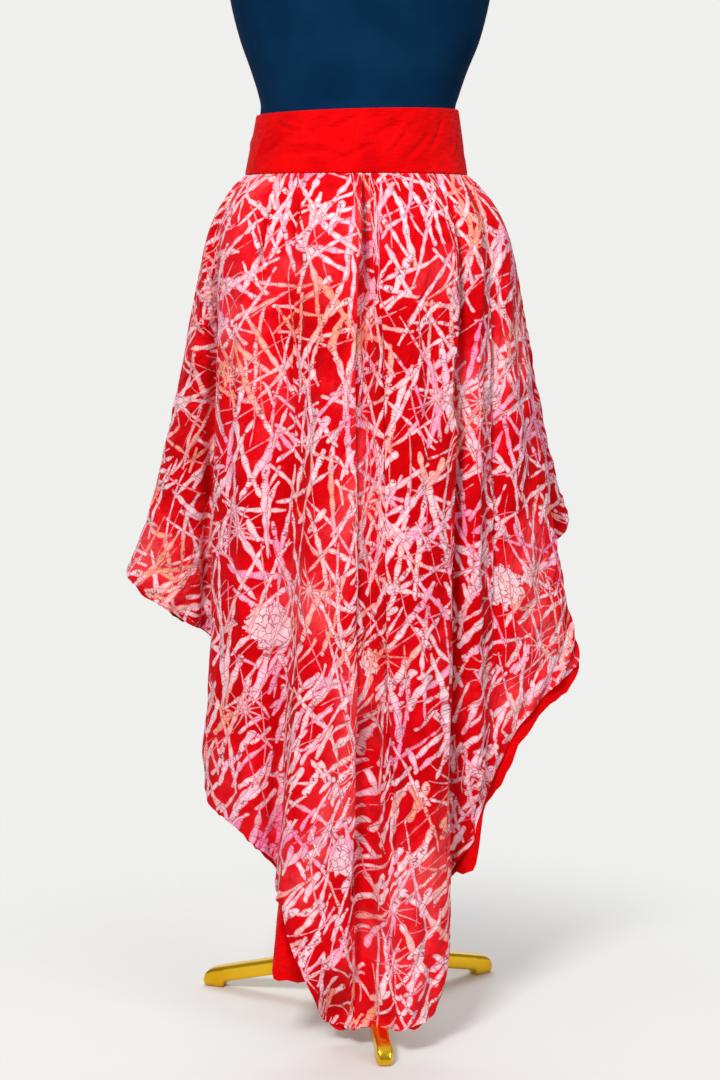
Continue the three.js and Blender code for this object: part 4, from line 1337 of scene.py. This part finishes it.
def add_leg(node, turn):
    angle = np.arange(LEG_SECTION_POINTS) * 2 * math.pi / LEG_SECTION_POINTS
    power = 2 / LEG_SQUARENESS
    across, up = (np.sign(side) * np.abs(side) ** power for side in (np.cos(angle), np.sin(angle)))
    forward = np.array([math.cos(turn), math.sin(turn), 0])
    sideways = np.array([-math.sin(turn), math.cos(turn), 0])
    rounding = LEG_ROUNDING * LEG_HALF_WIDTH
    rings = []
    for reach, low, high in LEG_STATIONS:
        past = max(0.0, (reach - LEG_REACH + rounding) / rounding)
        half = LEG_HALF_WIDTH * math.sqrt(1 - LEG_NARROWING * past**2)
        ring = forward * reach + sideways * (across * half)[:, None] + np.array([STAND_X, 0, (low + high) / 2])
        rings.append(ring + np.array([0, 0, 1]) * (up * (high - low) / 2)[:, None])
    piece = loft(rings, node + "_cast", brass, sharp=60)
    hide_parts(node)


for k, node in enumerate(("leg_front", "leg_right", "leg_left")):
    add_leg(node, math.radians(LEG_BEARING - 90 + 120 * k))

# ---------------------------------------------------------------- stage and light
floor_mesh = bpy.data.meshes.new("studio_floor")
round_floor = np.arange(FLOOR_SIDES) * 2 * math.pi / FLOOR_SIDES
floor_points = [(FLOOR_RADIUS * math.cos(t), FLOOR_RADIUS * math.sin(t), -FLOOR_DEPTH) for t in round_floor]
floor_mesh.from_pydata(floor_points, [], [list(range(FLOOR_SIDES))])
floor_mesh.materials.append(floor_material())
floor = bpy.data.objects.new("studio_floor", floor_mesh)
bpy.context.scene.collection.objects.link(floor)

world = bpy.data.worlds.new("studio")
bpy.context.scene.world = world
world.use_nodes = True
nodes, links = world.node_tree.nodes, world.node_tree.links
direction = nodes.new("ShaderNodeTexCoord")
split = nodes.new("ShaderNodeSeparateXYZ")
links.new(direction.outputs["Generated"], split.inputs[0])


def rising(axis, start, end, low, high):
    """Light that grows smoothly from low to high as a direction turns towards an axis."""
    node = nodes.new("ShaderNodeMapRange")
    node.interpolation_type = "SMOOTHERSTEP"
    links.new(split.outputs[axis], node.inputs[0])
    for k, value in enumerate((start, end, low, high)):
        node.inputs[k + 1].default_value = value
    return node


# A lit wall stands behind the skirt and a paler light above it; the room before it is dim.
brighter = nodes.new("ShaderNodeMath")
brighter.operation = "MAXIMUM"
links.new(rising("Y", 0.45, 0.9, 0.34, 1.0).outputs[0], brighter.inputs[0])
links.new(rising("Z", 0.3, 0.95, 0.0, 0.75).outputs[0], brighter.inputs[1])
tint = nodes.new("ShaderNodeMix")
tint.data_type = "RGBA"
tint.inputs[6].default_value = (0, 0, 0, 1)
tint.inputs[7].default_value = (0.865, 0.865, 0.855, 1)
links.new(brighter.outputs[0], tint.inputs[0])
links.new(tint.outputs[2], nodes["Background"].inputs[0])


def add_softbox(name, place, target, width, height, power):
    light = bpy.data.lights.new(name, "AREA")
    light.shape = "RECTANGLE"
    light.size, light.size_y = width, height
    light.energy = power
    lamp = bpy.data.objects.new(name, light)
    lamp.location = place
    away = np.array(target, float) - np.array(place, float)
    flat = math.hypot(away[0], away[1])
    lamp.rotation_euler = (math.atan2(flat, -away[2]), 0, math.atan2(-away[0], away[1]))
    bpy.context.scene.collection.objects.link(lamp)


SOFTBOXES = [
    # name, place, target, width, height, power
    ("key_light", (-0.95, -2.75, 2.8), (0, 0, 0.85), 0.8, 0.8, 112),
    ("fill_light", (2.2, -2.7, 1.7), (0, 0, 0.8), 1.4, 1.4, 36),
    ("wall_light", (0, 1.5, 2.6), (0, 0.9, 0), 2.4, 1.2, 30),
]
for softbox in SOFTBOXES:
    add_softbox(*softbox)
